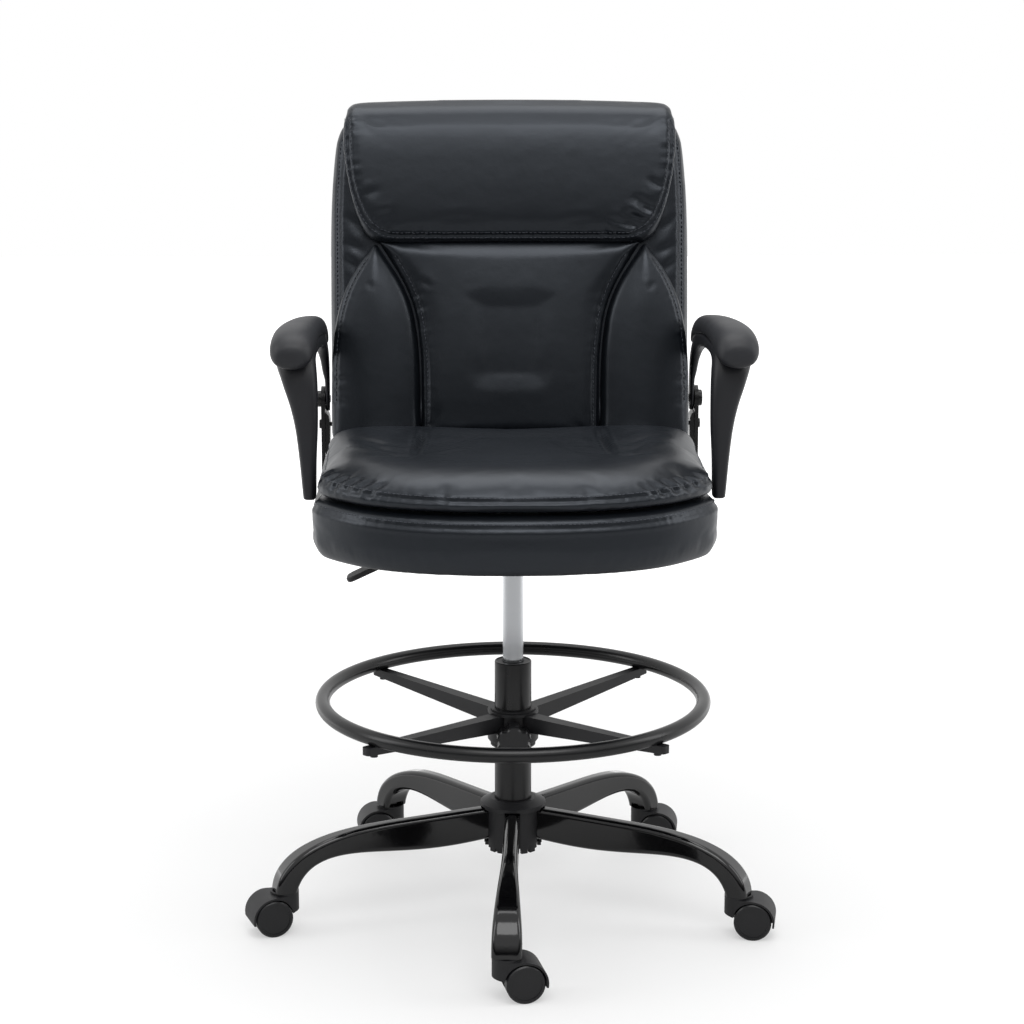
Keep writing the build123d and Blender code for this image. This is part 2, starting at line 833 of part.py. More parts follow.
with BuildPart() as seat_plate:
    with BuildSketch(Plane.XY.offset(plate_bottom)):
        with Locations((0, (plate_front + plate_rear) / 2)):
            RectangleRounded(plate_width, plate_rear - plate_front, 14)
    extrude(amount=plate_thickness)
    for side in (-1, 1):
        face = side * (ear_inner + ear_thickness / 2)
        with BuildSketch(Plane.YZ.offset(face - ear_thickness / 2)):
            with Locations((pivot_y, pivot_z)):
                Circle(ear_radius)
            with Locations((pivot_y, (pivot_z + plate_bottom) / 2)):
                Rectangle(2 * ear_radius, plate_bottom - pivot_z)
        extrude(amount=ear_thickness)
    with BuildSketch(Plane.YZ.offset(-plate_width)):
        with Locations((pivot_y, pivot_z)):
            Circle(pivot_diameter / 2 + running)
    extrude(amount=2 * plate_width, mode=Mode.SUBTRACT)
    with BuildSketch(Plane.XY.offset(plate_bottom)):
        with Locations((0, tension_y)):
            Circle(tension_diameter / 2 + running)
        with Locations((0, (plate_front + plate_rear) / 2)):
            with GridLocations(bolt_spacing_x, bolt_spacing_y, 2, 2):
                Circle(screw_diameter / 2 + loose)
    extrude(amount=plate_thickness, mode=Mode.SUBTRACT)
write(seat_plate.part, "seat_plate")

# Height lever: a block swings on trunnions in the housing's wall, and the steel rod
# slides through it, so that the paddle lifts for height and pulls out for tilt.
with BuildPart() as lever_block:
    with BuildSketch(Plane.XY.offset(lever_z - block_height / 2)):
        with Locations((lever_pivot_x, 0)):
            Rectangle(block_length, block_width)
    extrude(amount=block_height)
    chamfer(lever_block.edges().filter_by(Axis.Y), 2)
    with BuildSketch(Plane.XZ.offset(-trunnion_reach)):
        with Locations((lever_pivot_x, lever_z)):
            Circle(trunnion_diameter / 2)
    extrude(amount=2 * trunnion_reach)
    with BuildSketch(Plane.YZ.offset(lever_pivot_x - block_length)):
        with Locations((0, lever_z)):
            Circle(lever_radius + running)
    extrude(amount=2 * block_length, mode=Mode.SUBTRACT)
write(lever_block.part, "lever_block")

with BuildPart() as lever_rod:
    with BuildLine():
        FilletPolyline(
            (lever_inner, 0, lever_z),
            (lever_bend_x, 0, lever_z),
            (lever_end_x, 0, lever_end_z),
            radius=3 * lever_diameter,
        )
    with BuildSketch(Plane.YZ.offset(lever_inner)):
        with Locations((0, lever_z)):
            Circle(lever_radius)
    sweep()
write(lever_rod.part, "lever_rod")

rod_fall = (lever_z - lever_end_z) / (lever_bend_x - lever_end_x)
paddle_z = lever_z - rod_fall * (lever_bend_x - paddle_start)
down = radians(paddle_fall)
paddle_plane = Plane(
    origin=(paddle_start, 0, paddle_z),
    x_dir=(-cos(down), 0, -sin(down)),
    z_dir=(-sin(down), 0, cos(down)),
)
with BuildPart() as lever_paddle:
    with BuildSketch(paddle_plane.offset(-paddle_thickness / 2)):
        with Locations((paddle_length / 2, 0)):
            RectangleRounded(paddle_length, paddle_width, paddle_width / 3)
    extrude(amount=paddle_thickness)
    chamfer(lever_paddle.faces().sort_by(Axis.Z)[-1].edges(), 1.5)
    with BuildSketch(Plane.YZ.offset(paddle_start + 14)):
        with Locations((0, paddle_z)):
            Circle(lever_radius + 2.5)
    extrude(amount=-16)
    add(lever_rod.part, mode=Mode.SUBTRACT)
write(lever_paddle.part, "lever_paddle")


# Seat: a plywood pan in the underside of a boxed cushion, with a loose pad on top
def seat_plan(width, front, rear, bow, corner):
    """The seat seen from above: straight sides, rounded corners, bowed front."""
    with BuildSketch(Plane.XY) as plan:
        with BuildLine():
            Line((-width / 2, front + bow), (-width / 2, rear))
            Line((-width / 2, rear), (width / 2, rear))
            Line((width / 2, rear), (width / 2, front + bow))
            ThreePointArc((width / 2, front + bow), (0, front), (-width / 2, front + bow))
        make_face()
        front_corners = plan.vertices().group_by(Axis.Y)[0]
        fillet(front_corners, corner)
        fillet(plan.vertices().group_by(Axis.Y)[-1], corner * 0.6)
    return plan.sketch


pan_bottom = plate_top
pan_top = pan_bottom + pan_thickness
pan_half = seat_half - pan_inset
pan_plan = seat_plan(
    2 * pan_half, seat_front + pan_inset, seat_rear - pan_inset, seat_bow, corner_radius - pan_inset
)
bracket_bolts_y = (bracket_foot_y + bracket_width, arm_pivot_y - bracket_width - bracket_bend)
plate_middle = (plate_front + plate_rear) / 2
back_screw_z = arm_pivot_z - bracket_width
bracket_screws = [
    (place, pan_bottom + pan_thickness / 2, bracket_outer - pan_half + screw_bite)
    for place in bracket_bolts_y
]
bracket_screws.append((arm_pivot_y, back_screw_z, bracket_outer - back_width / 2 + screw_bite))

with BuildPart() as seat_pan:
    extrude(pan_plan.moved(Location((0, 0, pan_bottom))), amount=pan_thickness)
    with BuildSketch(Plane.XY.offset(pan_bottom)):
        with Locations((0, tension_y)):
            Circle(tension_diameter + 3)
        with Locations((0, plate_middle)):
            with GridLocations(bolt_spacing_x, bolt_spacing_y, 2, 2):
                Circle(screw_diameter / 2)
    extrude(amount=pan_thickness, mode=Mode.SUBTRACT)
    for side in (-1, 1):
        for place in bracket_bolts_y:
            with BuildSketch(Plane.YZ.offset(side * pan_half)):
                with Locations((place, pan_bottom + pan_thickness / 2)):
                    Circle(screw_diameter / 2)
            extrude(amount=-side * screw_bite, mode=Mode.SUBTRACT)
write(seat_pan.part, "seat_pan")

with BuildPart() as lower_cushion:
    outline = seat_plan(seat_width, seat_front, seat_rear, seat_bow, corner_radius)
    extrude(outline.moved(Location((0, 0, cushion_bottom))), amount=cushion_height)
    fillet(lower_cushion.edges().group_by(Axis.Z)[0], cushion_round)
    fillet(lower_cushion.edges().group_by(Axis.Z)[-1], cushion_round / 2)
    pocket = offset(pan_plan, loose, mode=Mode.PRIVATE)
    extrude(
        pocket.moved(Location((0, 0, cushion_bottom))),
        amount=pan_top + loose - cushion_bottom,
        mode=Mode.SUBTRACT,
    )
    for side in (-1, 1):
        for place in bracket_bolts_y:
            with BuildSketch(Plane.YZ.offset(side * seat_half)):
                with Locations((place, pan_bottom + pan_thickness / 2)):
                    Circle(screw_diameter / 2 + loose)
            extrude(amount=-side * 2 * pan_inset, mode=Mode.SUBTRACT)
write(lower_cushion.part, "lower_cushion")

pad_rear = back_front - bolster_depth - 2 * skin_gap
with BuildPart() as seat_pad:
    outline = seat_plan(pad_width, pad_front, pad_rear, seat_bow, corner_radius)
    extrude(outline.moved(Location((0, 0, pad_bottom))), amount=pad_height)
    fillet(seat_pad.edges().group_by(Axis.Z)[-1], pad_round)
    fillet(seat_pad.edges().group_by(Axis.Z)[0], pad_round)
write(seat_pad.part, "seat_pad")

with BuildPart() as seat_bolts:
    with BuildSketch(Plane.XY.offset(plate_bottom - screw_head_height)):
        with Locations((0, plate_middle)):
            with GridLocations(bolt_spacing_x, bolt_spacing_y, 2, 2):
                RegularPolygon(screw_head / 2, 6)
    extrude(amount=screw_head_height)
    with BuildSketch(Plane.XY.offset(plate_bottom)):
        with Locations((0, plate_middle)):
            with GridLocations(bolt_spacing_x, bolt_spacing_y, 2, 2):
                Circle(screw_diameter / 2)
    extrude(amount=plate_thickness + pan_thickness)
    # The side brackets' screws: two into the pan's edge, one into the backrest
    for side in (-1, 1):
        for place, height, depth in bracket_screws:
            with BuildSketch(Plane.YZ.offset(side * bracket_outer)):
                with Locations((place, height)):
                    Circle(screw_head / 2)
            extrude(amount=side * screw_head_height)
            with BuildSketch(Plane.YZ.offset(side * bracket_outer)):
                with Locations((place, height)):
                    Circle(screw_diameter / 2)
            extrude(amount=-side * depth)
write(seat_bolts.part, "seat_bolts")

# Backrest: a boxed cushion on a leather-covered rear panel, with a sewn centre panel,
# two bolsters and a headrest roll that folds over the top.
lean = radians(back_lean)
back = Plane(
    origin=(0, back_front, back_bottom), x_dir=(1, 0, 0), z_dir=(0, -cos(lean), sin(lean))
)
roll_foot = back_length + roll_cap - roll_length
channel_x = centre_width / 2
tip_x = centre_top_width / 2


def back_outline(depth, inset):
    """The backrest seen from the front, drawn in by the inset."""
    half = back_width / 2 - inset
    top = back_length - inset
    with BuildSketch(back.offset(depth)) as outline:
        with BuildLine():
            Polyline(
                (-half, inset),
                (-half, top - 3 * back_corner),
                (-half + back_corner / 3, top),
                (half - back_corner / 3, top),
                (half, top - 3 * back_corner),
                (half, inset),
                close=True,
            )
        make_face()
        corners = outline.vertices().group_by(Axis.Z)
        fillet(corners[-1], back_corner)
        fillet(corners[0], back_corner)
    return outline.sketch


with BuildPart() as back_cushion:
    extrude(back_outline(-back_depth, 0), amount=back_depth)
    fillet(facing(back_cushion, back.z_dir).edges(), 18)
    # The foot is cut level where it stands on the lower cushion
    with BuildSketch(Plane.XY.offset(cushion_top + skin_gap)):
        Rectangle(2 * back_width, 4 * back_front)
    extrude(amount=-cushion_height, mode=Mode.SUBTRACT)
    for side in (-1, 1):
        with BuildSketch(Plane.YZ.offset(side * back_width / 2)):
            with Locations((arm_pivot_y, back_screw_z)):
                Circle(screw_diameter / 2)
        extrude(amount=-side * screw_bite, mode=Mode.SUBTRACT)
write(back_cushion.part, "back_cushion")

with BuildPart() as back_panel:
    extrude(
        back_outline(-back_depth - skin_gap - panel_thickness, panel_inset), amount=panel_thickness
    )
    fillet(facing(back_panel, -back.z_dir).edges(), panel_thickness / 2)
write(back_panel.part, "back_panel")

with BuildPart() as back_centre:
    with BuildSketch(back.offset(skin_gap)):
        with BuildLine():
            Line((0, panel_inset), (-channel_x, panel_inset))
            Line((-channel_x, panel_inset), (-channel_x, roll_foot / 2))
            Spline(
                (-channel_x, roll_foot / 2),
                (-channel_x - 14, roll_foot * 0.75),
                (-tip_x, roll_foot - skin_gap),
            )
            Line((-tip_x, roll_foot - skin_gap), (0, roll_foot - skin_gap))
            mirror(about=Plane.YZ)
        make_face()
    extrude(amount=centre_depth)
    fillet(facing(back_centre, back.z_dir).edges(), 5)
write(back_centre.part, "back_centre")

with BuildPart() as back_bolsters:
    with BuildSketch(back.offset(skin_gap)):
        with BuildLine():
            Line((-channel_x - bolster_channel, panel_inset), (3 - back_width / 2, panel_inset))
            Line((3 - back_width / 2, panel_inset), (3 - back_width / 2, roll_foot / 2))
            Spline(
                (3 - back_width / 2, roll_foot / 2),
                (8 - back_width / 2, roll_foot - bolster_shoulder),
                (-tip_x - 2 * bolster_channel, roll_foot - 3 * bolster_channel),
            )
            Spline(
                (-tip_x - 2 * bolster_channel, roll_foot - 3 * bolster_channel),
                (-channel_x - 14 - bolster_channel, roll_foot * 0.75 - bolster_channel),
                (-channel_x - bolster_channel, roll_foot / 2 - bolster_channel),
            )
            Line(
                (-channel_x - bolster_channel, roll_foot / 2 - bolster_channel),
                (-channel_x - bolster_channel, panel_inset),
            )
        make_face()
        mirror(about=Plane.YZ)
    extrude(amount=bolster_depth)
write(back_bolsters.part, "back_bolsters")

roll_top = back_length + roll_cap
roll_side = Plane(origin=back.origin - back.x_dir * roll_width / 2, x_dir=back.y_dir, z_dir=back.x_dir)
with BuildPart() as headrest:
    with BuildSketch(roll_side) as fold:
        with BuildLine():
            Polyline(
                (roll_foot, roll_depth),
                (roll_top, roll_depth),
                (roll_top, -back_depth + back_corner),
                (back_length + skin_gap, -back_depth + back_corner),
                (back_length + skin_gap, skin_gap),
                (roll_foot, skin_gap),
                close=True,
            )
        make_face()
    extrude(amount=roll_width)
    with BuildSketch(back.offset(-back_depth)) as roll_front:
        with BuildLine():
            Polyline(
                (-roll_bottom_width / 2, roll_foot - 1),
                (-roll_width / 2, roll_top - roll_cap - back_corner),
                (-roll_width / 2, roll_top + 1),
                (roll_width / 2, roll_top + 1),
                (roll_width / 2, roll_top - roll_cap - back_corner),
                (roll_bottom_width / 2, roll_foot - 1),
                close=True,
            )
        make_face()
        fillet(roll_front.vertices(), back_corner)
    extrude(amount=back_depth + 2 * roll_depth, mode=Mode.INTERSECT)
write(headrest.part, "headrest")

# Side brackets: flat steel angles from the pan's edge up beside the backrest
with BuildPart() as side_brackets:
    for side in (-1, 1):
        with BuildSketch(Plane.YZ.offset(side * bracket_x)):
            with BuildLine():
                FilletPolyline(
                    (bracket_foot_y, bracket_foot_z),
                    (arm_pivot_y, bracket_foot_z),
                    (arm_pivot_y, arm_pivot_z),
                    radius=bracket_bend,
                )
                offset(amount=bracket_width / 2)
            make_face()
            with Locations((arm_pivot_y, arm_pivot_z)):
                Circle(arm_bolt_diameter / 2, mode=Mode.SUBTRACT)
            for place, height, depth in bracket_screws:
                with Locations((place, height)):
                    Circle(screw_diameter / 2, mode=Mode.SUBTRACT)
        extrude(amount=side * bracket_thickness)
write(side_brackets.part, "side_brackets")

eye_inner = side_face + arm_side_play
with BuildPart() as arm_bolts:
    for side in (-1, 1):
        with BuildSketch(Plane.YZ.offset(side * (eye_inner - 1))):
            with Locations((arm_pivot_y, arm_pivot_z)):
                Circle(arm_bolt_diameter / 2)
        extrude(amount=side * (bracket_outer - eye_inner + 1))
        with BuildSketch(Plane.YZ.offset(side * bracket_outer)):
            with Locations((arm_pivot_y, arm_pivot_z)):
                Circle(arm_bolt_head / 2)
        extrude(amount=side * arm_bolt_head_height)
    rims = arm_bolts.edges().filter_by(GeomType.CIRCLE).sort_by(Axis.X)
    fillet((rims[0], rims[-1]), 2)
write(arm_bolts.part, "arm_bolts")

# Flip-up arms, built on the +X side: a moulded loop whose front post ends beside the
# seat and whose rear post turns on the bracket's bolt, under a padded top.
frame_top = arm_top - arm_pad_thickness
post_rear = front_post_y + front_post_depth / 2
post_front = front_post_y - front_post_depth / 2
rear_post_front = arm_pivot_y - rear_post_width / 2
rear_post_rear = arm_pivot_y + rear_post_width / 2
rear_post_outer = eye_inner + rear_post_thickness
arm_inner = eye_inner + arm_step
arm_outer = arm_inner + arm_width
post_outer = arm_inner + front_post_width
arm_centre = (arm_inner + arm_outer) / 2
bar_height = 20
bar_bottom = frame_top - bar_height
post_drop = bar_bottom - front_post_end_z
eye_step = 0.4 * (bracket_width + rear_post_width) + 2 * loose


def arm_plan(front, grow, nose):
    """The arm from above: broad at the nose, narrow beside the backrest."""
    with BuildSketch(Plane.XY.offset(cushion_bottom)) as plan:
        with BuildLine():
            Line((arm_inner, front), (arm_outer, front))
            Line((arm_outer, front), (arm_outer, post_rear))
            Spline(
                (arm_outer, post_rear),
                (arm_outer - 12 + grow, 0),
                (rear_post_outer + 12 + grow, arm_pivot_y / 2),
                (rear_post_outer + grow, rear_post_rear - 12),
            )
            Line(
                (rear_post_outer + grow, rear_post_rear - 12),
                (rear_post_outer + grow, rear_post_rear + 5),
            )
            Line((rear_post_outer + grow, rear_post_rear + 5), (eye_inner, rear_post_rear + 5))
            Line((eye_inner, rear_post_rear + 5), (eye_inner, rear_post_front))
            Line((eye_inner, rear_post_front), (arm_inner, post_rear))
            Line((arm_inner, post_rear), (arm_inner, front))
        make_face()
        fillet(plan.vertices().group_by(Axis.Y)[0], nose)
    return plan.sketch


with BuildPart() as arm_left:
    with BuildSketch(Plane.YZ.offset(eye_inner)) as loop:
        with BuildLine():
            Polyline(
                (post_front, front_post_end_z),
                (post_front, frame_top),
                (rear_post_rear, frame_top),
                (rear_post_rear, arm_pivot_z),
                (rear_post_front, arm_pivot_z),
                (rear_post_front, bar_bottom),
                (post_rear, bar_bottom),
                (post_rear, front_post_end_z),
                close=True,
            )
        make_face()
        fillet(loop.vertices().group_by(Axis.Y)[-1].sort_by(Axis.X)[-1], rear_post_width)
        fillet(loop.vertices().group_by(Axis.Y)[-1].sort_by(Axis.X)[0], front_post_depth / 3)
        crooks = loop.vertices().filter_by(lambda spot: abs(spot.Y - bar_bottom) < loose)
        fillet(crooks, 1.2 * front_post_depth)
        fillet(loop.vertices().group_by(Axis.Y)[0], front_post_depth / 4)
        with Locations((arm_pivot_y, arm_pivot_z)):
            Circle(rear_post_width / 2)
    extrude(amount=arm_outer - eye_inner)
    extrude(arm_plan(post_front - 5, 0, 9), amount=arm_top, mode=Mode.INTERSECT)
    with BuildSketch(Plane.XZ.offset(-rear_post_rear - 10)):
        with BuildLine():
            Line((eye_inner - 5, front_post_end_z - 5), (post_outer, front_post_end_z - 5))
            Spline(
                (post_outer, front_post_end_z - 5),
                (post_outer + 0.06 * arm_width, front_post_end_z + 0.27 * post_drop),
                (post_outer + 0.22 * arm_width, front_post_end_z + 0.63 * post_drop),
                (arm_outer - 0.15 * arm_width, bar_bottom - 0.07 * post_drop),
                (arm_outer + 1, frame_top + 5),
            )
            Line((arm_outer + 1, frame_top + 5), (eye_inner - 5, frame_top + 5))
            Line((eye_inner - 5, frame_top + 5), (eye_inner - 5, front_post_end_z - 5))
        make_face()
    extrude(amount=rear_post_rear - post_front + 30, mode=Mode.INTERSECT)
    # The eye is stepped inwards to pass behind the bracket's rounded head
    with BuildSketch(Plane.YZ.offset(bracket_x - loose)):
        with Locations((arm_pivot_y, arm_pivot_z)):
            Circle(eye_step)
    extrude(amount=rear_post_thickness, mode=Mode.SUBTRACT)
    with BuildSketch(Plane.YZ.offset(eye_inner - 1)):
        with Locations((arm_pivot_y, arm_pivot_z)):
            Circle(arm_bolt_diameter / 2 + running)
    extrude(amount=rear_post_thickness, mode=Mode.SUBTRACT)

with BuildPart() as pad_left:
    with BuildSketch(Plane.YZ.offset(eye_inner)):
        with BuildLine():
            Polyline(
                (arm_front, bar_bottom),
                (arm_front, arm_top),
                (rear_post_rear - 4, arm_top),
                (rear_post_rear - 4, frame_top + loose),
                (post_front - loose, frame_top + loose),
                (post_front - loose, bar_bottom),
                close=True,
            )
        make_face()
    extrude(amount=arm_outer - eye_inner)
    extrude(arm_plan(arm_front, 9, arm_nose), amount=arm_top, mode=Mode.INTERSECT)
    rims = pad_left.edges().group_by(Axis.Z)[-1]
    outer_rims = rims.filter_by(lambda edge: edge.center().X > arm_centre or edge.length > arm_nose * 2)
    fillet(outer_rims, arm_pad_round)

for side, frame, pad in (
    ("left", arm_left.part, pad_left.part),
    ("right", arm_left.part.mirror(Plane.YZ), pad_left.part.mirror(Plane.YZ)),
):
    write(frame, f"arm_frame_{side}")
    write(pad, f"arm_pad_{side}")
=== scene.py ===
import bpy
import bmesh
import numpy as np
from math import cos, pi, radians, sin
from mathutils import Matrix, Vector
from mathutils.bvhtree import BVHTree


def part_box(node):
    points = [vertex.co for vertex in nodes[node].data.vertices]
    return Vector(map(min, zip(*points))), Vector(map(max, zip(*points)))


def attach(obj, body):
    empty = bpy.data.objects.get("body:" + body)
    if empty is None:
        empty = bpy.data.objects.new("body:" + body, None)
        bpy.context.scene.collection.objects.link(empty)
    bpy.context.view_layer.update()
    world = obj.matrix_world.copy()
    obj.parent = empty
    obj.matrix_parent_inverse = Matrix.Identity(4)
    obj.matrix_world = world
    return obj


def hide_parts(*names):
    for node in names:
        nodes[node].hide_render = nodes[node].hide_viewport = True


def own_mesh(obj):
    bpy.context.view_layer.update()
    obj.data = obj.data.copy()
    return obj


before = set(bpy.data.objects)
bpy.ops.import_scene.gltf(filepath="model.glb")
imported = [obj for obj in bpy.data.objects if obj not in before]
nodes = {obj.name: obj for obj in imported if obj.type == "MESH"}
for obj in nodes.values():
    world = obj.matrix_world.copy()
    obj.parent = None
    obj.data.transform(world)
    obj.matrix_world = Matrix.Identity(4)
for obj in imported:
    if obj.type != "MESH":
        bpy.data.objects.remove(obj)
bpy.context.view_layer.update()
scene = bpy.context.scene


# Colour and nodes

def linear(hexColour):
    parts = [int(hexColour[i:i + 2], 16) / 255 for i in (1, 3, 5)]
    return [p / 12.92 if p <= 0.04045 else ((p + 0.055) / 1.055) ** 2.4 for p in parts] + [1]


def addNode(tree, kind, settings=None, **links):
    node = tree.nodes.new(kind)
    for name, value in (settings or {}).items():
        if name in node.inputs:
            node.inputs[name].default_value = value
        else:
            setattr(node, name, value)
    for name, source in links.items():
        socket = node.inputs[int(name[1:])] if name[1:].isdigit() else node.inputs[name]
        tree.links.new(source, socket)
    return node


def newMaterial(name):
    material = bpy.data.materials.new(name)
    material.use_nodes = True
    tree = material.node_tree
    tree.nodes.clear()
    surface = addNode(tree, "ShaderNodeBsdfPrincipled")
    output = addNode(tree, "ShaderNodeOutputMaterial")
    tree.links.new(surface.outputs[0], output.inputs["Surface"])
    place = addNode(tree, "ShaderNodeTexCoord").outputs["Object"]
    return material, tree, surface, place


def varied(tree, surface, place, dark, pale, size, low, high):
    # a slow change of colour and of roughness over patches of that size in metres
    patches = addNode(tree, "ShaderNodeTexNoise", {"Scale": 1 / size, "Detail": 3}, Vector=place)
    colour = addNode(tree, "ShaderNodeMix", {"data_type": "RGBA"}, i0=patches.outputs["Fac"])
    colour.inputs[6].default_value = linear(dark)
    colour.inputs[7].default_value = linear(pale)
    tree.links.new(colour.outputs[2], surface.inputs["Base Color"])
    rough = addNode(tree, "ShaderNodeMapRange", {"To Min": low, "To Max": high}, i0=patches.outputs["Fac"])
    tree.links.new(rough.outputs[0], surface.inputs["Roughness"])
    return patches


def bump(tree, surface, height, depth, strength=1.0, under=None):
    node = addNode(tree, "ShaderNodeBump", {"Distance": depth, "Strength": strength}, Height=height)
    if under:
        tree.links.new(under.outputs[0], node.inputs["Normal"])
    tree.links.new(node.outputs[0], surface.inputs["Normal"])
    return node


# Polyurethane leather, embossed with a fine pebble grain: dark, with a broad soft sheen
def polyurethaneLeather(settings):
    material, tree, surface, place = newMaterial("polyurethaneLeather")
    varied(tree, surface, place, settings["dark"], settings["pale"], 0.09, 0.31, 0.39)
    surface.inputs["IOR"].default_value = 1.5
    surface.inputs["Specular IOR Level"].default_value = settings["specular"]
    surface.inputs["Specular Tint"].default_value = linear(settings["gleam"])
    surface.inputs["Sheen Weight"].default_value = settings["sheen"]
    surface.inputs["Sheen Roughness"].default_value = 0.45
    surface.inputs["Sheen Tint"].default_value = linear("#8d98ad")
    wide = addNode(tree, "ShaderNodeTexNoise", {"Scale": 1 / 0.028, "Detail": 2}, Vector=place)
    under = bump(tree, surface, wide.outputs["Fac"], 0.0009, 0.5)
    # the real pebbles are 0.8 mm across, drawn at 1.5 mm so that they show
    pebbles = addNode(tree, "ShaderNodeTexVoronoi", {"Scale": 1 / 0.0015, "feature": "SMOOTH_F1"}, Vector=place)
    bump(tree, surface, pebbles.outputs["Distance"], 0.00012, 0.35, under)
    return material


# Bonded polyester thread: a twisted strand, slightly paler than the leather
def polyesterThread(settings):
    material, tree, surface, place = newMaterial("polyesterThread")
    surface.inputs["Base Color"].default_value = linear(settings["colour"])
    surface.inputs["Roughness"].default_value = 0.5
    twist = addNode(tree, "ShaderNodeTexWave", {"Scale": 1 / 0.002, "Distortion": 1}, Vector=place)
    bump(tree, surface, twist.outputs["Fac"], 0.0002, 0.5)
    return material


# Gloss enamel baked on drawn steel: a mirror-like coat with faint orange peel
def glossEnamel(settings):
    material, tree, surface, place = newMaterial("glossEnamel")
    varied(tree, surface, place, settings["dark"], settings["pale"], 0.05, 0.07, 0.13)
    surface.inputs["Coat Weight"].default_value = 0.2
    surface.inputs["Coat Roughness"].default_value = 0.03
    peel = addNode(tree, "ShaderNodeTexNoise", {"Scale": 1 / 0.006, "Detail": 1}, Vector=place)
    bump(tree, surface, peel.outputs["Fac"], 0.00012, 0.25)
    return material


# Polyester powder coat on steel: satin, with a fine pebbled skin
def powderCoatedSteel(settings):
    material, tree, surface, place = newMaterial("powderCoatedSteel")
    varied(tree, surface, place, settings["dark"], settings["pale"], 0.04, 0.24, 0.34)
    peel = addNode(tree, "ShaderNodeTexNoise", {"Scale": 1 / 0.0016, "Detail": 2}, Vector=place)
    bump(tree, surface, peel.outputs["Fac"], 0.00008, 0.4)
    return material


# Moulded nylon from a spark-eroded mould: matt, with an even fine texture
def mouldedNylon(name, settings):
    material, tree, surface, place = newMaterial(name)
    varied(tree, surface, place, settings["dark"], settings["pale"], 0.03, settings["low"], settings["high"])
    spark = addNode(tree, "ShaderNodeTexNoise", {"Scale": 1 / 0.0009, "Detail": 2}, Vector=place)
    bump(tree, surface, spark.outputs["Fac"], 0.00008, settings["texture"])
    return material


# Ground and chromed gas spring tube: bright, with faint rings left by the grinding
def groundSteel(settings):
    material, tree, surface, place = newMaterial("groundSteel")
    surface.inputs["Base Color"].default_value = linear(settings["colour"])
    surface.inputs["Metallic"].default_value = 1
    stretched = addNode(tree, "ShaderNodeMapping", {"Scale": (30, 30, 1800)}, Vector=place)
    rings = addNode(tree, "ShaderNodeTexNoise", {"Scale": 1, "Detail": 2}, Vector=stretched.outputs[0])
    rough = addNode(tree, "ShaderNodeMapRange", {"To Min": 0.16, "To Max": 0.3}, i0=rings.outputs["Fac"])
    tree.links.new(rough.outputs[0], surface.inputs["Roughness"])
    bump(tree, surface, rings.outputs["Fac"], 0.00003, 0.3)
    return material


# Spunbonded polypropylene, stapled under the seat as a dust cover: dull, with short random fibres
def spunbondedCloth(settings):
    material, tree, surface, place = newMaterial("spunbondedCloth")
    varied(tree, surface, place, settings["dark"], settings["pale"], 0.02, 0.82, 0.92)
    # the real fibres are 0.03 mm thick, drawn as strands 1.2 mm long so that they show
    fibres = addNode(tree, "ShaderNodeTexNoise", {"Scale": 1 / 0.0012, "Detail": 4}, Vector=place)
    bump(tree, surface, fibres.outputs["Fac"], 0.0002, 0.5)
    return material


leather = polyurethaneLeather({
    "dark": "#0a0d11", "pale": "#0f1216", "gleam": "#e6eefa", "specular": 0.58, "sheen": 0.03,
})
thread = polyesterThread({"colour": "#383c44"})
enamel = glossEnamel({"dark": "#060607", "pale": "#08080a"})
powderCoat = powderCoatedSteel({"dark": "#08080a", "pale": "#0d0d0f"})
nylon = mouldedNylon("mouldedNylon", {
    "dark": "#101013", "pale": "#17171a", "low": 0.42, "high": 0.55, "texture": 0.5,
})
wheelNylon = mouldedNylon("polishedNylon", {
    "dark": "#101012", "pale": "#18181b", "low": 0.28, "high": 0.4, "texture": 0.2,
})
armNylon = mouldedNylon("glassFilledNylon", {
    "dark": "#14151a", "pale": "#1b1c21", "low": 0.42, "high": 0.54, "texture": 0.6,
})
skinFoam = mouldedNylon("skinnedFoam", {
    "dark": "#1c1d21", "pale": "#24262b", "low": 0.46, "high": 0.58, "texture": 0.7,
})
steel = groundSteel({"colour": "#c9cbce"})
dustCover = spunbondedCloth({"dark": "#0e0f11", "pale": "#17181b"})
print("materials made")

# Finishes of the pieces that keep their own shape
finishes = {
    "leg_": enamel,
    "hub_cover": nylon, "base_hub": powderCoat, "column_tube": powderCoat, "column_bush": nylon,
    "gas_cylinder": steel, "piston_rod": steel, "thrust_bearing": steel, "valve_button": steel,
    "ring_tube": powderCoat, "ring_hub": nylon, "ring_sleeve": nylon, "ring_screws": powderCoat,
    "clamp_knob": wheelNylon, "mechanism_housing": powderCoat, "seat_plate": powderCoat,
    "tension_spring": steel, "tension_knob": nylon, "lever_block": nylon, "lever_rod": powderCoat,
    "lever_paddle": nylon, "seat_pan": dustCover, "seat_bolts": powderCoat,
    "side_brackets": powderCoat, "arm_bolts": powderCoat, "arm_frame": armNylon, "arm_pad": skinFoam,
    "lower_cushion": leather, "seat_pad": leather, "back": leather, "headrest": leather,
}
for name, node in nodes.items():
    if name.startswith("caster"):
        finish = steel if "pins" in name else wheelNylon if "wheel" in name else nylon
    else:
        finish = next(f for start, f in finishes.items() if name.startswith(start))
    node.data.materials.clear()
    node.data.materials.append(finish)
print("finishes set on", len(nodes), "pieces")

# Shaping

def resample(points, count, closed=True):
    points = np.array(points, float)
    if closed:
        points = np.vstack([points, points[:1]])
    lengths = np.concatenate([[0], np.cumsum(np.linalg.norm(np.diff(points, axis=0), axis=1))])
    stops = np.linspace(0, lengths[-1], count, endpoint=not closed)
    return np.column_stack([np.interp(stops, lengths, column) for column in points.T])


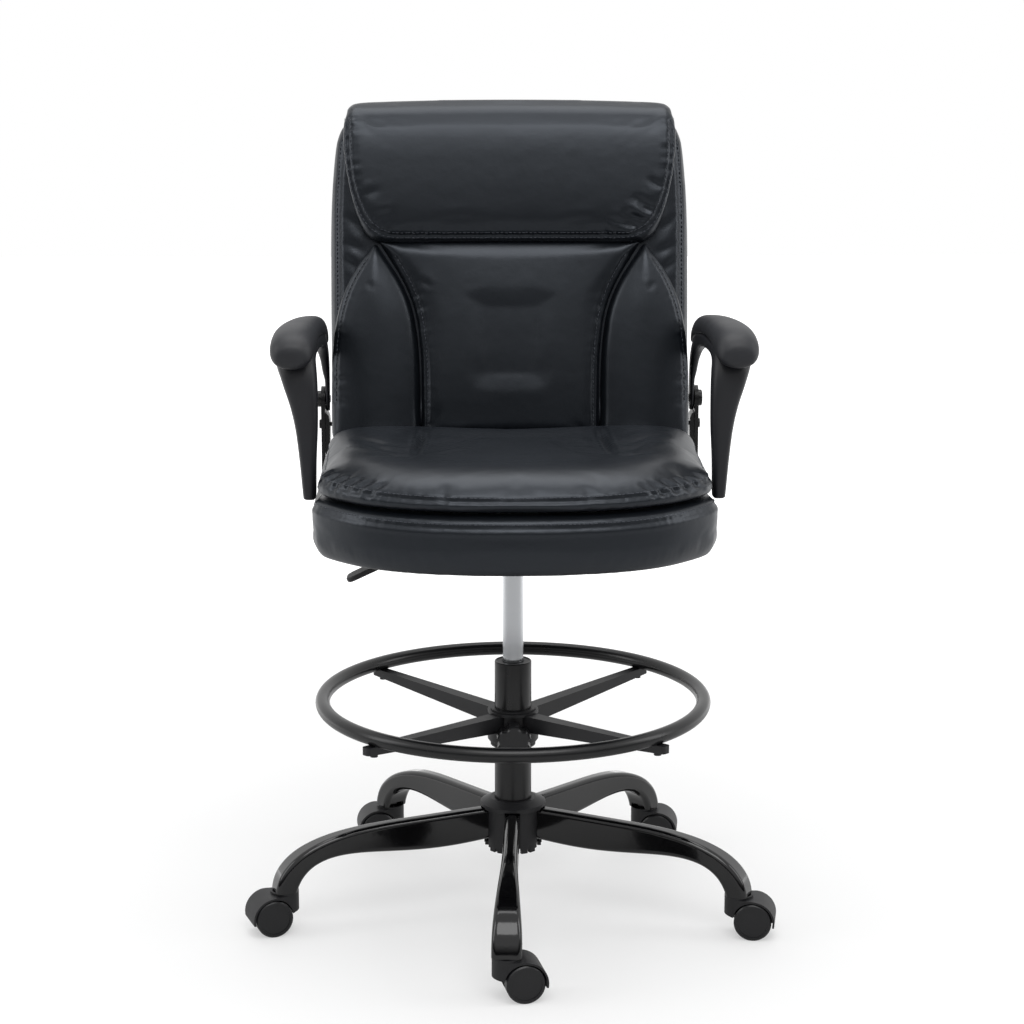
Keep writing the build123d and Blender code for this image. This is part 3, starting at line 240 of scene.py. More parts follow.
def roundedLoop(corners, count=180):
    # corners are x, y and how far the rounding reaches along each side
    loop = []
    for number, (x, y, reach) in enumerate(corners):
        corner = Vector((x, y))
        before = Vector(corners[number - 1][:2]) - corner
        after = Vector(corners[(number + 1) % len(corners)][:2]) - corner
        start = corner + before.normalized() * min(reach, before.length / 2)
        end = corner + after.normalized() * min(reach, after.length / 2)
        for step in range(9):
            t = step / 8
            loop.append(start * (1 - t) ** 2 + corner * 2 * t * (1 - t) + end * t * t)
    return resample(loop, count)


def throughRows(rows, steps, closed=False):
    # a Catmull-Rom curve through rows of numbers
    rows = np.array(rows, float)
    last = len(rows) if closed else len(rows) - 1
    made = []
    for i in range(last):
        spots = [(i + k) % len(rows) if closed else min(max(i + k, 0), len(rows) - 1) for k in (-1, 0, 1, 2)]
        a, b, c, d = rows[spots]
        for t in np.linspace(0, 1, steps, endpoint=False):
            bend = (2 * a - 5 * b + 4 * c - d) * t ** 2
            turn = (3 * b - a - 3 * c + d) * t ** 3
            made.append(0.5 * (2 * b + (c - a) * t + bend + turn))
    return np.array(made if closed else made + [rows[-1]])


def insetLoop(loop, distance):
    ahead = np.roll(loop, -1, axis=0) - np.roll(loop, 1, axis=0)
    inward = np.column_stack([-ahead[:, 1], ahead[:, 0]])
    inward /= np.linalg.norm(inward, axis=1)[:, None]
    area = np.sum(loop[:, 0] * np.roll(loop[:, 1], -1) - np.roll(loop[:, 0], -1) * loop[:, 1])
    return loop + inward * distance * (1 if area > 0 else -1)


def distanceInside(points, loop):
    nearest = np.full(len(points), 1e9)
    for start, end in zip(loop, np.roll(loop, -1, axis=0)):
        side = end - start
        t = np.clip((points - start) @ side / max(side @ side, 1e-12), 0, 1)
        nearest = np.minimum(nearest, np.linalg.norm(points - start - t[:, None] * side, axis=1))
    return nearest


def addPiece(name, points, faces):
    mesh = bpy.data.meshes.new(name)
    mesh.from_pydata([tuple(p) for p in points], [], faces)
    mesh.validate()
    piece = bpy.data.objects.new(name, mesh)
    scene.collection.objects.link(piece)
    return piece


def loft(name, loops):
    # a closed skin through loops that all have the same number of points
    count = len(loops[0])
    points = [p for loop in loops for p in loop]
    faces = [list(range(count))[::-1], [len(points) - count + i for i in range(count)]]
    for row in range(len(loops) - 1):
        for i in range(count):
            j = (i + 1) % count
            faces.append([row * count + i, row * count + j, (row + 1) * count + j, (row + 1) * count + i])
    return addPiece(name, points, faces)


def applyModifiers(piece):
    evaluated = piece.evaluated_get(bpy.context.evaluated_depsgraph_get())
    made = bpy.data.meshes.new_from_object(evaluated)
    piece.modifiers.clear()
    piece.data = made


def faceOutward(bm, mesh):
    bmesh.ops.recalc_face_normals(bm, faces=bm.faces)
    bm.to_mesh(mesh)
    bm.free()


def readPoints(piece):
    points = np.empty(len(piece.data.vertices) * 3)
    piece.data.vertices.foreach_get("co", points)
    return points.reshape(-1, 3)


def readNormals(piece):
    normals = np.empty(len(piece.data.vertices) * 3)
    piece.data.vertex_normals.foreach_get("vector", normals)
    return normals.reshape(-1, 3)


def writePoints(piece, points):
    piece.data.vertices.foreach_set("co", points.ravel())
    piece.data.update()


def evenMesh(piece, size):
    remesh = piece.modifiers.new("even", "REMESH")
    remesh.mode = "VOXEL"
    remesh.voxel_size = size
    applyModifiers(piece)


def ease(inside, reach):
    # a quarter round that starts at the outline and is flat a reach further in
    return np.sqrt(np.clip(1 - (1 - np.clip(inside / reach, 0, 1)) ** 2, 0, 1))


def cushionSkin(name, settings, low, high, place):
    loop = settings["loop"] if "loop" in settings else roundedLoop(settings["outline"])
    thick = settings["thickness"]
    count = len(loop)
    points = [(x, y, 0) for x, y in loop] + [(x, y, thick) for x, y in loop]
    faces = [list(range(count))[::-1], list(range(count, 2 * count))]
    faces += [[i, (i + 1) % count, count + (i + 1) % count, count + i] for i in range(count)]
    piece = addPiece(name, points, faces)
    evenMesh(piece, settings["voxel"])
    points = readPoints(piece)
    inside = distanceInside(points[:, :2], loop)
    share = np.clip(points[:, 2] / thick, 0, 1)
    bottom = low(points[:, 0], points[:, 1], inside)
    top = high(points[:, 0], points[:, 1], inside)
    points[:, 2] = bottom + share * (top - bottom)
    writePoints(piece, points @ np.array(place.to_3x3()).T + np.array(place.translation))
    return piece, loop, inside, share


coverCloth = {"quality": 4, "mass": 0.3, "stretch": 12, "bending": 0.6, "frames": 20}


def swell(piece, held, settings):
    # the cover swells over its foam between the seams that hold it
    start = readPoints(piece)
    group = piece.vertex_groups.new(name="held")
    group.add([int(i) for i in np.flatnonzero(held)], 1.0, "REPLACE")
    cloth = piece.modifiers.new("cover", "CLOTH")
    cloth.settings.quality = coverCloth["quality"]
    cloth.settings.mass = coverCloth["mass"]
    cloth.settings.tension_stiffness = coverCloth["stretch"]
    cloth.settings.compression_stiffness = coverCloth["stretch"]
    cloth.settings.bending_stiffness = coverCloth["bending"]
    cloth.settings.use_pressure = True
    cloth.settings.uniform_pressure_force = settings["pressure"]
    cloth.settings.vertex_group_mass = "held"
    cloth.settings.effector_weights.gravity = 0
    for number in range(1, coverCloth["frames"] + 1):
        scene.frame_set(number)
    applyModifiers(piece)
    scene.frame_set(1)
    moved = readPoints(piece) - start
    reach = np.linalg.norm(moved, axis=1)
    moved *= np.minimum(1, settings["cap"] / np.maximum(reach, 1e-9))[:, None]
    writePoints(piece, start + moved)
    smoother = piece.modifiers.new("settled", "SMOOTH")
    smoother.factor = 0.5
    smoother.iterations = 3
    finer = piece.modifiers.new("finer", "SUBSURF")
    finer.levels = finer.render_levels = 1
    applyModifiers(piece)
    piece.data.shade_smooth()
    print(piece.name, "has", len(piece.data.vertices), "points")


# Sewing

def castLine(piece, starts, directions):
    # where the seam's line meets the cover, with the cover's normals there
    tree = BVHTree.FromPolygons([v.co for v in piece.data.vertices], [p.vertices for p in piece.data.polygons])
    hits = [tree.ray_cast(Vector(s), Vector(d)) for s, d in zip(starts, directions)]
    hits = [hit for hit in hits if hit[0] is not None]
    points = np.array([hit[0] for hit in hits])
    normals = np.array([hit[1] for hit in hits])
    for _ in range(3):
        points[1:-1] = (points[:-2] + 2 * points[1:-1] + points[2:]) / 4
        normals[1:-1] = (normals[:-2] + 2 * normals[1:-1] + normals[2:]) / 4
    return points, normals / np.linalg.norm(normals, axis=1)[:, None]


# metres: from how far out a seam's line is cast on a face and on a wall, and the step along it
cast = {"face": 0.9, "wall": 0.06, "step": 0.002}


def faceLine(piece, place, flat, closed=False):
    length = np.sum(np.linalg.norm(np.diff(flat, axis=0), axis=1))
    flat = resample(flat, max(8, int(length / cast["step"])), closed)
    starts = [place @ Vector((u, v, cast["face"])) for u, v in flat]
    return castLine(piece, starts, [-(place.to_3x3() @ Vector((0, 0, 1)))] * len(flat))


def wallLine(piece, points):
    points = resample(points, int(len(points) * 3), False)
    centre = readPoints(piece).mean(0)
    away = points - centre
    away[:, 2] = 0
    away /= np.linalg.norm(away, axis=1)[:, None]
    return castLine(piece, points + away * cast["wall"], -away)


def openRun(loop, kept):
    # the stretch of a closed outline whose points are kept, in order
    flags = np.array([kept(*p) for p in loop])
    first = int(np.flatnonzero(flags & ~np.roll(flags, 1))[0]) if not flags.all() else 0
    order = [(first + i) % len(loop) for i in range(len(loop))]
    run = [loop[i] for i in order if flags[i]]
    return np.array(run)


# metres that a plain seam gathers to each side, and over which it fades at its ends
plainSeam = {"reach": 0.014, "taper": 0.006}


def sew(piece, line, settings, seed=1):
    # a seam draws the cover down and gathers it into small puckers on both sides
    points, normals = line
    lengths = np.concatenate([[0], np.cumsum(np.linalg.norm(np.diff(points, axis=0), axis=1))])
    random = np.random.default_rng(seed)
    waves = [(random.uniform(0.008, 0.024), random.uniform(0, 2 * pi), random.uniform(0.4, 1)) for _ in range(5)]
    cover = readPoints(piece)
    out = readNormals(piece)
    reach = settings.get("reach", plainSeam["reach"])
    near = np.all((cover > points.min(0) - reach) & (cover < points.max(0) + reach), axis=1)
    chosen = np.flatnonzero(near)
    for block in np.array_split(chosen, max(1, len(chosen) * len(points) // 4000000)):
        if not len(block):
            continue
        apart = np.linalg.norm(cover[block][:, None] - points[None], axis=2)
        closest = apart.argmin(1)
        distance = apart.min(1)
        stop = lengths[closest]
        ends = np.minimum(stop, lengths[-1] - stop) / settings.get("taper", plainSeam["taper"])
        fade = np.clip(ends, 0, 1)
        puckers = sum(size * np.sin(2 * pi * stop / length + phase) for length, phase, size in waves) / 3
        move = -settings["depth"] * np.exp(-(distance / settings["width"]) ** 2)
        move += 0.25 * settings["depth"] * np.exp(-((distance - 2.6 * settings["width"]) / settings["width"]) ** 2)
        move += settings["pucker"] * puckers * np.exp(-(distance / reach * 1.6) ** 2) * (distance > 0.0008)
        cover[block] += out[block] * (move * fade)[:, None]
    writePoints(piece, cover)


def crease(piece, place, start, end, depth, width, bend=0.0):
    # one soft wrinkle that fades out at its ends
    middle = (Vector(start) + Vector(end)) / 2 + Vector((start[1] - end[1], end[0] - start[0])) * bend
    flat = [
        Vector(start) * (1 - t) ** 2 + middle * 2 * t * (1 - t) + Vector(end) * t * t
        for t in np.linspace(0, 1, 14)
    ]
    line = faceLine(piece, place, np.array(flat))
    length = (Vector(end) - Vector(start)).length
    sew(piece, line, {"depth": depth, "width": width, "pucker": 0, "reach": width * 5, "taper": length * 0.45})


# a stitch's rings as shares of its length, thickness and height: its ends are thin and sunk
stitchRings = ((-0.5, 0.5, -0.5), (-0.3, 1, 0.5), (0, 1, 0.7), (0.3, 1, 0.5), (0.5, 0.5, -0.5))


def stitchRow(piece, line, offset, settings):
    # one row of thread beside a seam, each stitch sunk at its ends
    points, normals = line
    ahead = np.gradient(points, axis=0)
    ahead /= np.linalg.norm(ahead, axis=1)[:, None]
    beside = np.cross(normals, ahead)
    tree = BVHTree.FromPolygons([v.co for v in piece.data.vertices], [p.vertices for p in piece.data.polygons])
    lengths = np.concatenate([[0], np.cumsum(np.linalg.norm(np.diff(points, axis=0), axis=1))])
    made = []
    faces = []
    for stop in np.arange(settings["pitch"], lengths[-1] - settings["pitch"], settings["pitch"]):
        i = int(np.searchsorted(lengths, stop))
        spot = tree.find_nearest(Vector(points[i] + beside[i] * offset))
        if spot[0] is None:
            continue
        centre, up = np.array(spot[0]), np.array(spot[1])
        along = ahead[i] - up * (ahead[i] @ up)
        along /= np.linalg.norm(along)
        across = np.cross(up, along)
        base = len(made)
        for step, size, height in stitchRings:
            for corner in range(6):
                turn = corner * pi / 3
                made.append(
                    centre + along * step * settings["length"]
                    + up * settings["thick"] / 2 * (height + size * sin(turn))
                    + across * settings["thick"] / 2 * size * cos(turn)
                )
        for row in range(4):
            for corner in range(6):
                following = (corner + 1) % 6
                first = base + row * 6
                faces.append([first + corner, first + following, first + 6 + following, first + 6 + corner])
    return made, faces


def stitches(name, piece, rows, settings, body="seat"):
    points, faces = [], []
    for line, offset in rows:
        more, moreFaces = stitchRow(piece, line, offset, settings)
        faces += [[i + len(points) for i in face] for face in moreFaces]
        points += more
    row = addPiece(name, points, faces)
    row.data.shade_smooth()
    row.data.materials.append(thread)
    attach(row, body)
    return row


def dress(piece, material, slot, body, *replaced, fill=0.7):
    piece.data.materials.clear()
    piece.data.materials.append(material)
    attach(piece, body)
    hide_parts(*replaced)


threadRow = {"pitch": 0.0058, "length": 0.0046, "thick": 0.0011}
flatPlace = Matrix.Identity(4)


# Seat: a boxed lower cushion under a crowned pad

def seatLoop(half, front, rear, frontReach, rearReach, fullness):
    # the seat from above: the front is drawn round over its reach, and the rear corners over theirs
    across = half * np.sin(np.linspace(-pi / 2, pi / 2, 81))
    curve = 1 - (1 - np.abs(across / half) ** 2.5) ** 0.4
    frontRow = np.column_stack([across, front + frontReach * curve])
    rearRow = np.column_stack([across, rear - rearReach * curve])[::-1]
    # the foam is fullest just ahead of the arms
    frontRow[:, 0] += fullness * np.sign(across) * np.exp(-((frontRow[:, 1] + 0.15) / 0.036) ** 2) * (curve > 0.2)
    return resample(np.vstack([frontRow, rearRow]), 220)


lower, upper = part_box("lower_cushion")
lowerSettings = {
    "loop": seatLoop(upper.x + 0.001, lower.y, upper.y, 0.185, 0.05, 0.012), "thickness": upper.z - lower.z,
    "voxel": 0.006, "pressure": 3.5, "cap": 0.009, "seam": 0.591,
    # the skirt's drop, how far in it hangs lowest and its width
    "skirt": 0.010, "skirtIn": 0.0125, "skirtWidth": 0.006,
    # how far the lower and upper edges are rounded, and over what reach
    "underRound": 0.022, "underReach": 0.022, "topRound": 0.013, "topReach": 0.018,
}
cushionBottom, cushionTop = lower.z, upper.z


def underCushion(x, y, d):
    # the cover is drawn round under the foam and hangs in a short skirt past the board
    rounding = lowerSettings["underRound"] * (1 - ease(d, lowerSettings["underReach"]))
    across = (d - lowerSettings["skirtIn"]) / lowerSettings["skirtWidth"]
    return cushionBottom + 0.001 + rounding - lowerSettings["skirt"] * np.exp(-across ** 2)


def overCushion(x, y, d):
    return cushionTop - 0.002 - lowerSettings["topRound"] * (1 - ease(d, lowerSettings["topReach"]))


lowerCushion, loop, inside, share = cushionSkin(
    "lowerCushion", lowerSettings, underCushion, overCushion, flatPlace,
)
swell(lowerCushion, (inside > 0.03) | (np.abs(share - 0.62) < 0.05), lowerSettings)
lowerRun = openRun(loop, lambda x, y: y < upper.y - 0.03)
heights = lowerSettings["seam"] + 0.004 * np.clip((np.abs(lowerRun[:, 0]) / upper.x), 0, 1) ** 3
lowerSeam = wallLine(lowerCushion, np.column_stack([lowerRun, heights]))
sew(lowerCushion, lowerSeam, {"depth": 0.0018, "width": 0.0028, "pucker": 0.0002}, 3)
dress(lowerCushion, leather, "leather", "seat", "lower_cushion")
panLow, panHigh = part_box("seat_pan")
panLoop = seatLoop(panHigh.x, panLow.y, panHigh.y, 0.17, 0.05, 0.006)
pan = loft("dustCover", [[(x, y, z) for x, y in insetLoop(panLoop, inset)] for z, inset in (
    (panLow.z, 0.003), (panLow.z + 0.0006, 0.0008), (panLow.z + 0.003, 0), (panHigh.z - 0.0005, 0),
)])
pan.data.materials.append(dustCover)
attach(pan, "seat")
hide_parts("seat_pan")
stitches("lowerCushionStitches", lowerCushion, [(lowerSeam, 0.0045)], threadRow)

lower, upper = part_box("seat_pad")
padSettings = {
    "loop": seatLoop(upper.x + 0.0015, lower.y, upper.y, 0.19, 0.05, 0.008), "thickness": upper.z - lower.z,
    "voxel": 0.0055, "pressure": 3.5, "cap": 0.008, "crown": 0.016, "seamHeight": 0.0165,
    # the drop at the upper edge, and the hollow that a sitter leaves along the middle of the rear
    "edge": 0.016, "hollow": 0.009, "hollowHalf": 0.13,
}
padBottom, padTop, padRear, padHalf = lower.z, upper.z, upper.y, upper.x


def rearShare(y):
    # 0 at the front of the pad and 1 at its rear, where its edges are tighter
    return np.clip((y + 0.03) / 0.1, 0, 1)


def underPad(x, y, d):
    return padBottom + 0.0015 + 0.007 * (1 - ease(d, 0.012))


def overPad(x, y, d):
    rear = rearShare(y)
    edge = padSettings["edge"] * (1 - ease(d, 0.034 - 0.020 * rear))
    crown = padSettings["crown"] * np.sin(pi / 2 * np.clip(d / (0.1 - 0.05 * rear), 0, 1))
    middle = np.exp(-(x / padSettings["hollowHalf"]) ** 2)
    hollow = padSettings["hollow"] * middle * np.clip((y + 0.12) / 0.2, 0, 1)
    return padTop - edge + crown - hollow + 0.002 * rear - 0.001


seatPad, loop, inside, share = cushionSkin("seatPad", padSettings, underPad, overPad, flatPlace)
swell(seatPad, (share < 0.3) | (inside > 0.1), padSettings)
padRun = openRun(loop, lambda x, y: y < padRear - 0.03)
heights = padBottom + padSettings["seamHeight"] + 0.005 * np.clip(np.abs(padRun[:, 0]) / padHalf, 0, 1) ** 2
padSeam = wallLine(seatPad, np.column_stack([padRun, heights]))
sew(seatPad, padSeam, {"depth": 0.0017, "width": 0.0024, "pucker": 0.0005, "reach": 0.02}, 5)
shortSeams = [
    faceLine(seatPad, flatPlace, np.array([(side * 0.120, 0.075), (side * 0.1215, 0.0), (side * 0.126, -0.125)]))
    for side in (-1, 1)
]
for number, seam in enumerate(shortSeams):
    sew(seatPad, seam, {"depth": 0.0065, "width": 0.0040, "pucker": 0.001, "reach": 0.03, "taper": 0.07}, 7 + number)
# wrinkles that the short seams draw: start, end, depth and width
for start, end, depth, width in (
    ((-0.120, -0.118), (-0.040, 0.020), 0.0050, 0.0085), ((-0.134, -0.110), (-0.205, -0.005), 0.0044, 0.0090),
    ((-0.118, -0.075), (-0.035, 0.055), 0.0040, 0.0090), ((-0.130, -0.060), (-0.215, 0.020), 0.0044, 0.0090),
    ((-0.127, -0.128), (-0.180, -0.105), 0.0028, 0.0070), ((-0.116, -0.122), (-0.060, -0.075), 0.0026, 0.0070),
    ((0.120, -0.122), (0.050, 0.005), 0.0044, 0.0085), ((0.136, -0.114), (0.200, -0.005), 0.0040, 0.0090),
    ((0.118, -0.070), (0.045, 0.050), 0.0040, 0.0090), ((0.130, -0.060), (0.210, 0.030), 0.0044, 0.0090),
    ((0.130, -0.132), (0.182, -0.108), 0.0026, 0.0070), ((0.120, -0.126), (0.066, -0.080), 0.0026, 0.0070),
):
    crease(seatPad, flatPlace, start, end, depth, width, 0.1)
# gathers beside the seam at the front corners: the y of each and its depth, each running in from the edge to 15 mm
# inside it
edge, inner = insetLoop(loop, 0.0012), insetLoop(loop, 0.015)
for side, gathers in (
    (-1, ((-0.142, 0.0022), (-0.163, 0.0030), (-0.181, 0.0034), (-0.197, 0.0034), (-0.211, 0.0030), (-0.223, 0.0022))),
    (1, ((-0.158, 0.0022), (-0.177, 0.0032), (-0.193, 0.0038), (-0.207, 0.0038), (-0.219, 0.0034), (-0.229, 0.0024))),
):
    for y, depth in gathers:
        near = int(np.argmin(np.abs(loop[:, 1] - y) + 9 * (side * loop[:, 0] < 0)))
        crease(seatPad, flatPlace, tuple(edge[near]), tuple(inner[near - 3 * side]), depth, 0.0030, 0.15)
dress(seatPad, leather, "leather", "seat", "seat_pad")
stitches("seatPadStitches", seatPad, [(padSeam, 0.0045)], threadRow)
print("seat made")

# Backrest, worked on its leaning plane: x across, y up the back and z out of its face
back = {
    "lean": radians(9.1), "foot": (0, 0.165, 0.611), "depth": 0.074, "panel": 0.014,
    "rollFoot": 0.286, "rollHalf": 0.231, "rollFootHalf": 0.198,
}
upward = Vector((0, sin(back["lean"]), cos(back["lean"])))
outward = Vector((0, -cos(back["lean"]), sin(back["lean"])))
backTurn = Matrix((Vector((1, 0, 0)), upward, outward)).transposed()
backPlace = Matrix.Translation(Vector(back["foot"])) @ backTurn.to_4x4()


def shifted(distance):
    return backPlace @ Matrix.Translation((0, 0, distance))


cushionSettings = {
    "outline": [
        (-0.249, 0.014, 0.03), (0.249, 0.014, 0.03), (0.249, 0.362, 0.06), (0.238, 0.468, 0.045),
        (-0.238, 0.468, 0.045), (-0.249, 0.362, 0.06),
    ],
    "thickness": 0.07, "voxel": 0.0065, "pressure": 3, "cap": 0.006,
}
backCushion, loop, inside, share = cushionSkin(
    "backCushion", cushionSettings,
    lambda x, y, d: 0.001 + 0.008 * (1 - ease(d, 0.012)),
    lambda x, y, d: 0.074 - 0.018 * (1 - ease(d, 0.022)) + 0.004 * np.sin(pi / 2 * np.clip(d / 0.1, 0, 1)) - 0.002,
    shifted(-back["depth"]),
)
swell(backCushion, (inside > 0.05) | (np.abs(share - 0.3) < 0.04), cushionSettings)
sideSeams = []
for side in (-1, 1):
    run = openRun(insetLoop(loop, 0.0105), lambda x, y: side * x > 0.2 and 0.04 < y < 0.44)
    sideSeams.append(faceLine(backCushion, backPlace, run))
for number, seam in enumerate(sideSeams):
    sew(backCushion, seam, {"depth": 0.0022, "width": 0.0028, "pucker": 0.0006}, 11 + number)
for side in (-1, 1):
    for start, end in (((0.236, 0.29), (0.2, 0.272)), ((0.236, 0.27), (0.208, 0.245)), ((0.234, 0.33), (0.205, 0.3))):
        crease(backCushion, backPlace, (side * start[0], start[1]), (side * end[0], end[1]), 0.0014, 0.005, 0.1)
dress(backCushion, leather, "leather", "seat", "back_cushion")
stitches("backCushionStitches", backCushion, [(sideSeams[0], -0.0042), (sideSeams[1], -0.0042)], threadRow)

panelSettings = {
    "outline": [
        (-0.238, 0.012, 0.036), (0.238, 0.012, 0.036), (0.238, 0.355, 0.05), (0.226, 0.457, 0.036),
        (-0.226, 0.457, 0.036), (-0.238, 0.355, 0.05),
    ],
    "thickness": 0.014, "voxel": 0.0055, "pressure": 2, "cap": 0.003,
}
backPanel, loop, inside, share = cushionSkin(
    "backPanel", panelSettings,
    lambda x, y, d: 0.0005 + 0.007 * (1 - ease(d, 0.01)) - 0.003 * np.sin(pi / 2 * np.clip(d / 0.12, 0, 1)),
    lambda x, y, d: 0.0136 + 0 * d,
    shifted(-back["depth"] - 0.0004 - back["panel"]),
)
swell(backPanel, (share > 0.5) | (inside > 0.06), panelSettings)
run = insetLoop(loop, 0.012)
run = np.vstack([run, run[:1]])
flatRun = resample(run, 500, False)
rearLine = castLine(backPanel, [backPlace @ Vector((u, v, -0.3)) for u, v in flatRun], [outward] * len(flatRun))
sew(backPanel, rearLine, {"depth": 0.0018, "width": 0.0026, "pucker": 0.0004}, 17)
dress(backPanel, leather, "leather", "seat", "back_panel")
stitches("backPanelStitches", backPanel, [(rearLine, 0.0042)], threadRow)

# Centre panel, and a leaf-shaped bolster on each side of it
centreSettings = {
    "outline": [
        (-0.1240, 0.013, 0.006), (0.1240, 0.013, 0.006), (0.1240, 0.143, 0.05), (0.1365, 0.218, 0.05),
        (0.185, 0.292, 0.004), (-0.185, 0.292, 0.004), (-0.1365, 0.218, 0.05), (-0.1240, 0.143, 0.05),
    ],
    "thickness": 0.018, "voxel": 0.0045, "pressure": 3, "cap": 0.003,
}
centrePanel, loop, inside, share = cushionSkin(
    "centrePanel", centreSettings,
    lambda x, y, d: 0.0 * d,
    lambda x, y, d: 0.003 + 0.011 * ease(d, 0.011)
    + 0.011 * np.cos(pi / 2 * np.clip(x / 0.17, -1, 1)) * np.sin(pi * np.clip((y + 0.03) / 0.335, 0, 1)) ** 0.8,
    shifted(0.001),
)
swell(centrePanel, (share < 0.3) | (inside > 0.09), centreSettings)
centreSeams = []
for side in (-1, 1):
    run = openRun(insetLoop(loop, 0.0085), lambda x, y: side * x > 0.1 and 0.018 < y < 0.276)
    centreSeams.append(faceLine(centrePanel, backPlace, run))
for number, seam in enumerate(centreSeams):
    sew(centrePanel, seam, {"depth": 0.0013, "width": 0.0022, "pucker": 0.0004}, 21 + number)
crease(centrePanel, backPlace, (-0.128, 0.238), (-0.108, 0.222), 0.0009, 0.004, 0.1)
dress(centrePanel, leather, "leather", "seat", "back_centre")
stitches("centrePanelStitches", centrePanel, [(seam, 0.0) for seam in centreSeams], threadRow)


def acrossLeaf(x, y, inside):
    # how far in from the leaf's long edges, leaving out its foot, which the seat hides
    return np.where(y < 0.09, np.minimum(np.abs(x) - 0.1258, 0.2495 - np.abs(x)), inside)


def overLeaf(x, y, d):
    crown = 0.013 * np.sin(pi / 2 * np.clip(acrossLeaf(x, y, d) / 0.055, 0, 1))
    return 0.003 + 0.010 * ease(d, 0.011) + crown


for side, name in ((-1, "bolsterRight"), (1, "bolsterLeft")):
    bolsterSettings = {
        "outline": [
            (side * x, y, reach) for x, y, reach in (
                (0.1258, 0.013, 0.006), (0.1258, 0.14, 0.05), (0.1385, 0.2165, 0.05), (0.1875, 0.290, 0.004),
                (0.222, 0.245, 0.04), (0.243, 0.188, 0.05), (0.2495, 0.12, 0.04), (0.2495, 0.013, 0.01),
            )
        ],
        "thickness": 0.02, "voxel": 0.0045, "pressure": 3, "cap": 0.003,
    }
    bolster, loop, inside, share = cushionSkin(
        name, bolsterSettings, lambda x, y, d: 0.0 * d, overLeaf, shifted(0.001),
    )
    swell(bolster, share < 0.3, bolsterSettings)
    outer = openRun(insetLoop(loop, 0.006), lambda x, y: 0.06 < y < 0.272 and abs(x) > 0.185)
    outerSeam = faceLine(bolster, backPlace, outer)
    sew(bolster, outerSeam, {"depth": 0.0015, "width": 0.0024, "pucker": 0.0007}, 33)
    for start, end in (((0.2, 0.235), (0.19, 0.22)), ((0.244, 0.1), (0.226, 0.094)), ((0.244, 0.07), (0.224, 0.062))):
        crease(bolster, backPlace, (side * start[0], start[1]), (side * end[0], end[1]), 0.0008, 0.004, 0.1)
    dress(bolster, leather, "leather", "seat", "back_bolsters")
    stitches(name + "Stitches", bolster, [(outerSeam, 0.0)], threadRow)

# Headrest: a roll that folds over the top of the back
roll = {
    "section": [
        (0.286, 0.006), (0.288, 0.016), (0.297, 0.0245), (0.322, 0.029), (0.372, 0.030), (0.424, 0.0275),
        (0.458, 0.021), (0.475, 0.008), (0.4825, -0.010), (0.4815, -0.026), (0.473, -0.037), (0.4712, -0.02),
        (0.4708, 0.0012), (0.42, 0.0012), (0.34, 0.0012), (0.29, 0.0012),
    ],
    "voxel": 0.0045, "pressure": 2, "cap": 0.0015, "crown": 0.004,
}
section = resample(throughRows(roll["section"], 8, True), 90)
middle = section.mean(0)
loops = []
for s in np.sin(np.linspace(-pi / 2, pi / 2, 61)):
    end = (1 - abs(s) ** 44) ** 0.5
    ring = middle + (section - middle) * (0.55 + 0.45 * end)
    rise = np.clip((ring[:, 0] - back["rollFoot"]) / 0.15, 0, 1)
    half = back["rollFootHalf"] + (back["rollHalf"] - back["rollFootHalf"]) * np.sin(rise * pi / 2) ** 0.9
    rises = [v + roll["crown"] * (1 - s * s) * (v > 0.4) for v in ring[:, 0]]
    loops.append([backPlace @ Vector((s * h, v, w)) for h, v, w in zip(half, rises, ring[:, 1])])
headrest = loft("headrest", loops)
evenMesh(headrest, roll["voxel"])
local = (readPoints(headrest) - np.array(back["foot"])) @ np.array(backPlace.to_3x3())
swell(headrest, (local[:, 2] < 0.004) & (local[:, 1] < 0.468), roll)
rollCorners = [
    (-0.19, 0.297, 0.035), (0.19, 0.297, 0.035), (0.222, 0.37, 0.05), (0.2235, 0.468, 0.01),
    (-0.2235, 0.468, 0.01), (-0.222, 0.37, 0.05),
]
run = openRun(roundedLoop(rollCorners, 300), lambda x, y: y < 0.462)
rollSeam = faceLine(headrest, backPlace, run)
sew(headrest, rollSeam, {"depth": 0.0018, "width": 0.0026, "pucker": 0.0009, "reach": 0.018}, 41)
for start, end, depth, width in (
    ((0.196, 0.318), (0.15, 0.33), 0.0028, 0.005), ((0.205, 0.335), (0.168, 0.352), 0.0024, 0.005),
    ((0.188, 0.309), (0.130, 0.322), 0.0024, 0.005), ((0.200, 0.327), (0.176, 0.341), 0.0028, 0.004),
    ((-0.196, 0.318), (-0.155, 0.328), 0.0012, 0.005), ((-0.21, 0.345), (-0.175, 0.36), 0.001, 0.005),
    ((0.182, 0.304), (0.16, 0.318), 0.0022, 0.004), ((0.212, 0.36), (0.19, 0.378), 0.0018, 0.004),
    ((-0.12, 0.31), (-0.02, 0.316), 0.0008, 0.006), ((0.06, 0.308), (0.13, 0.315), 0.0008, 0.006),
):
    crease(headrest, backPlace, start, end, depth, width, 0.12)
dress(headrest, leather, "leather", "seat", "headrest")
stitches("headrestStitches", headrest, [(rollSeam, -0.0038), (rollSeam, 0.0038)], threadRow)
print("backrest made")

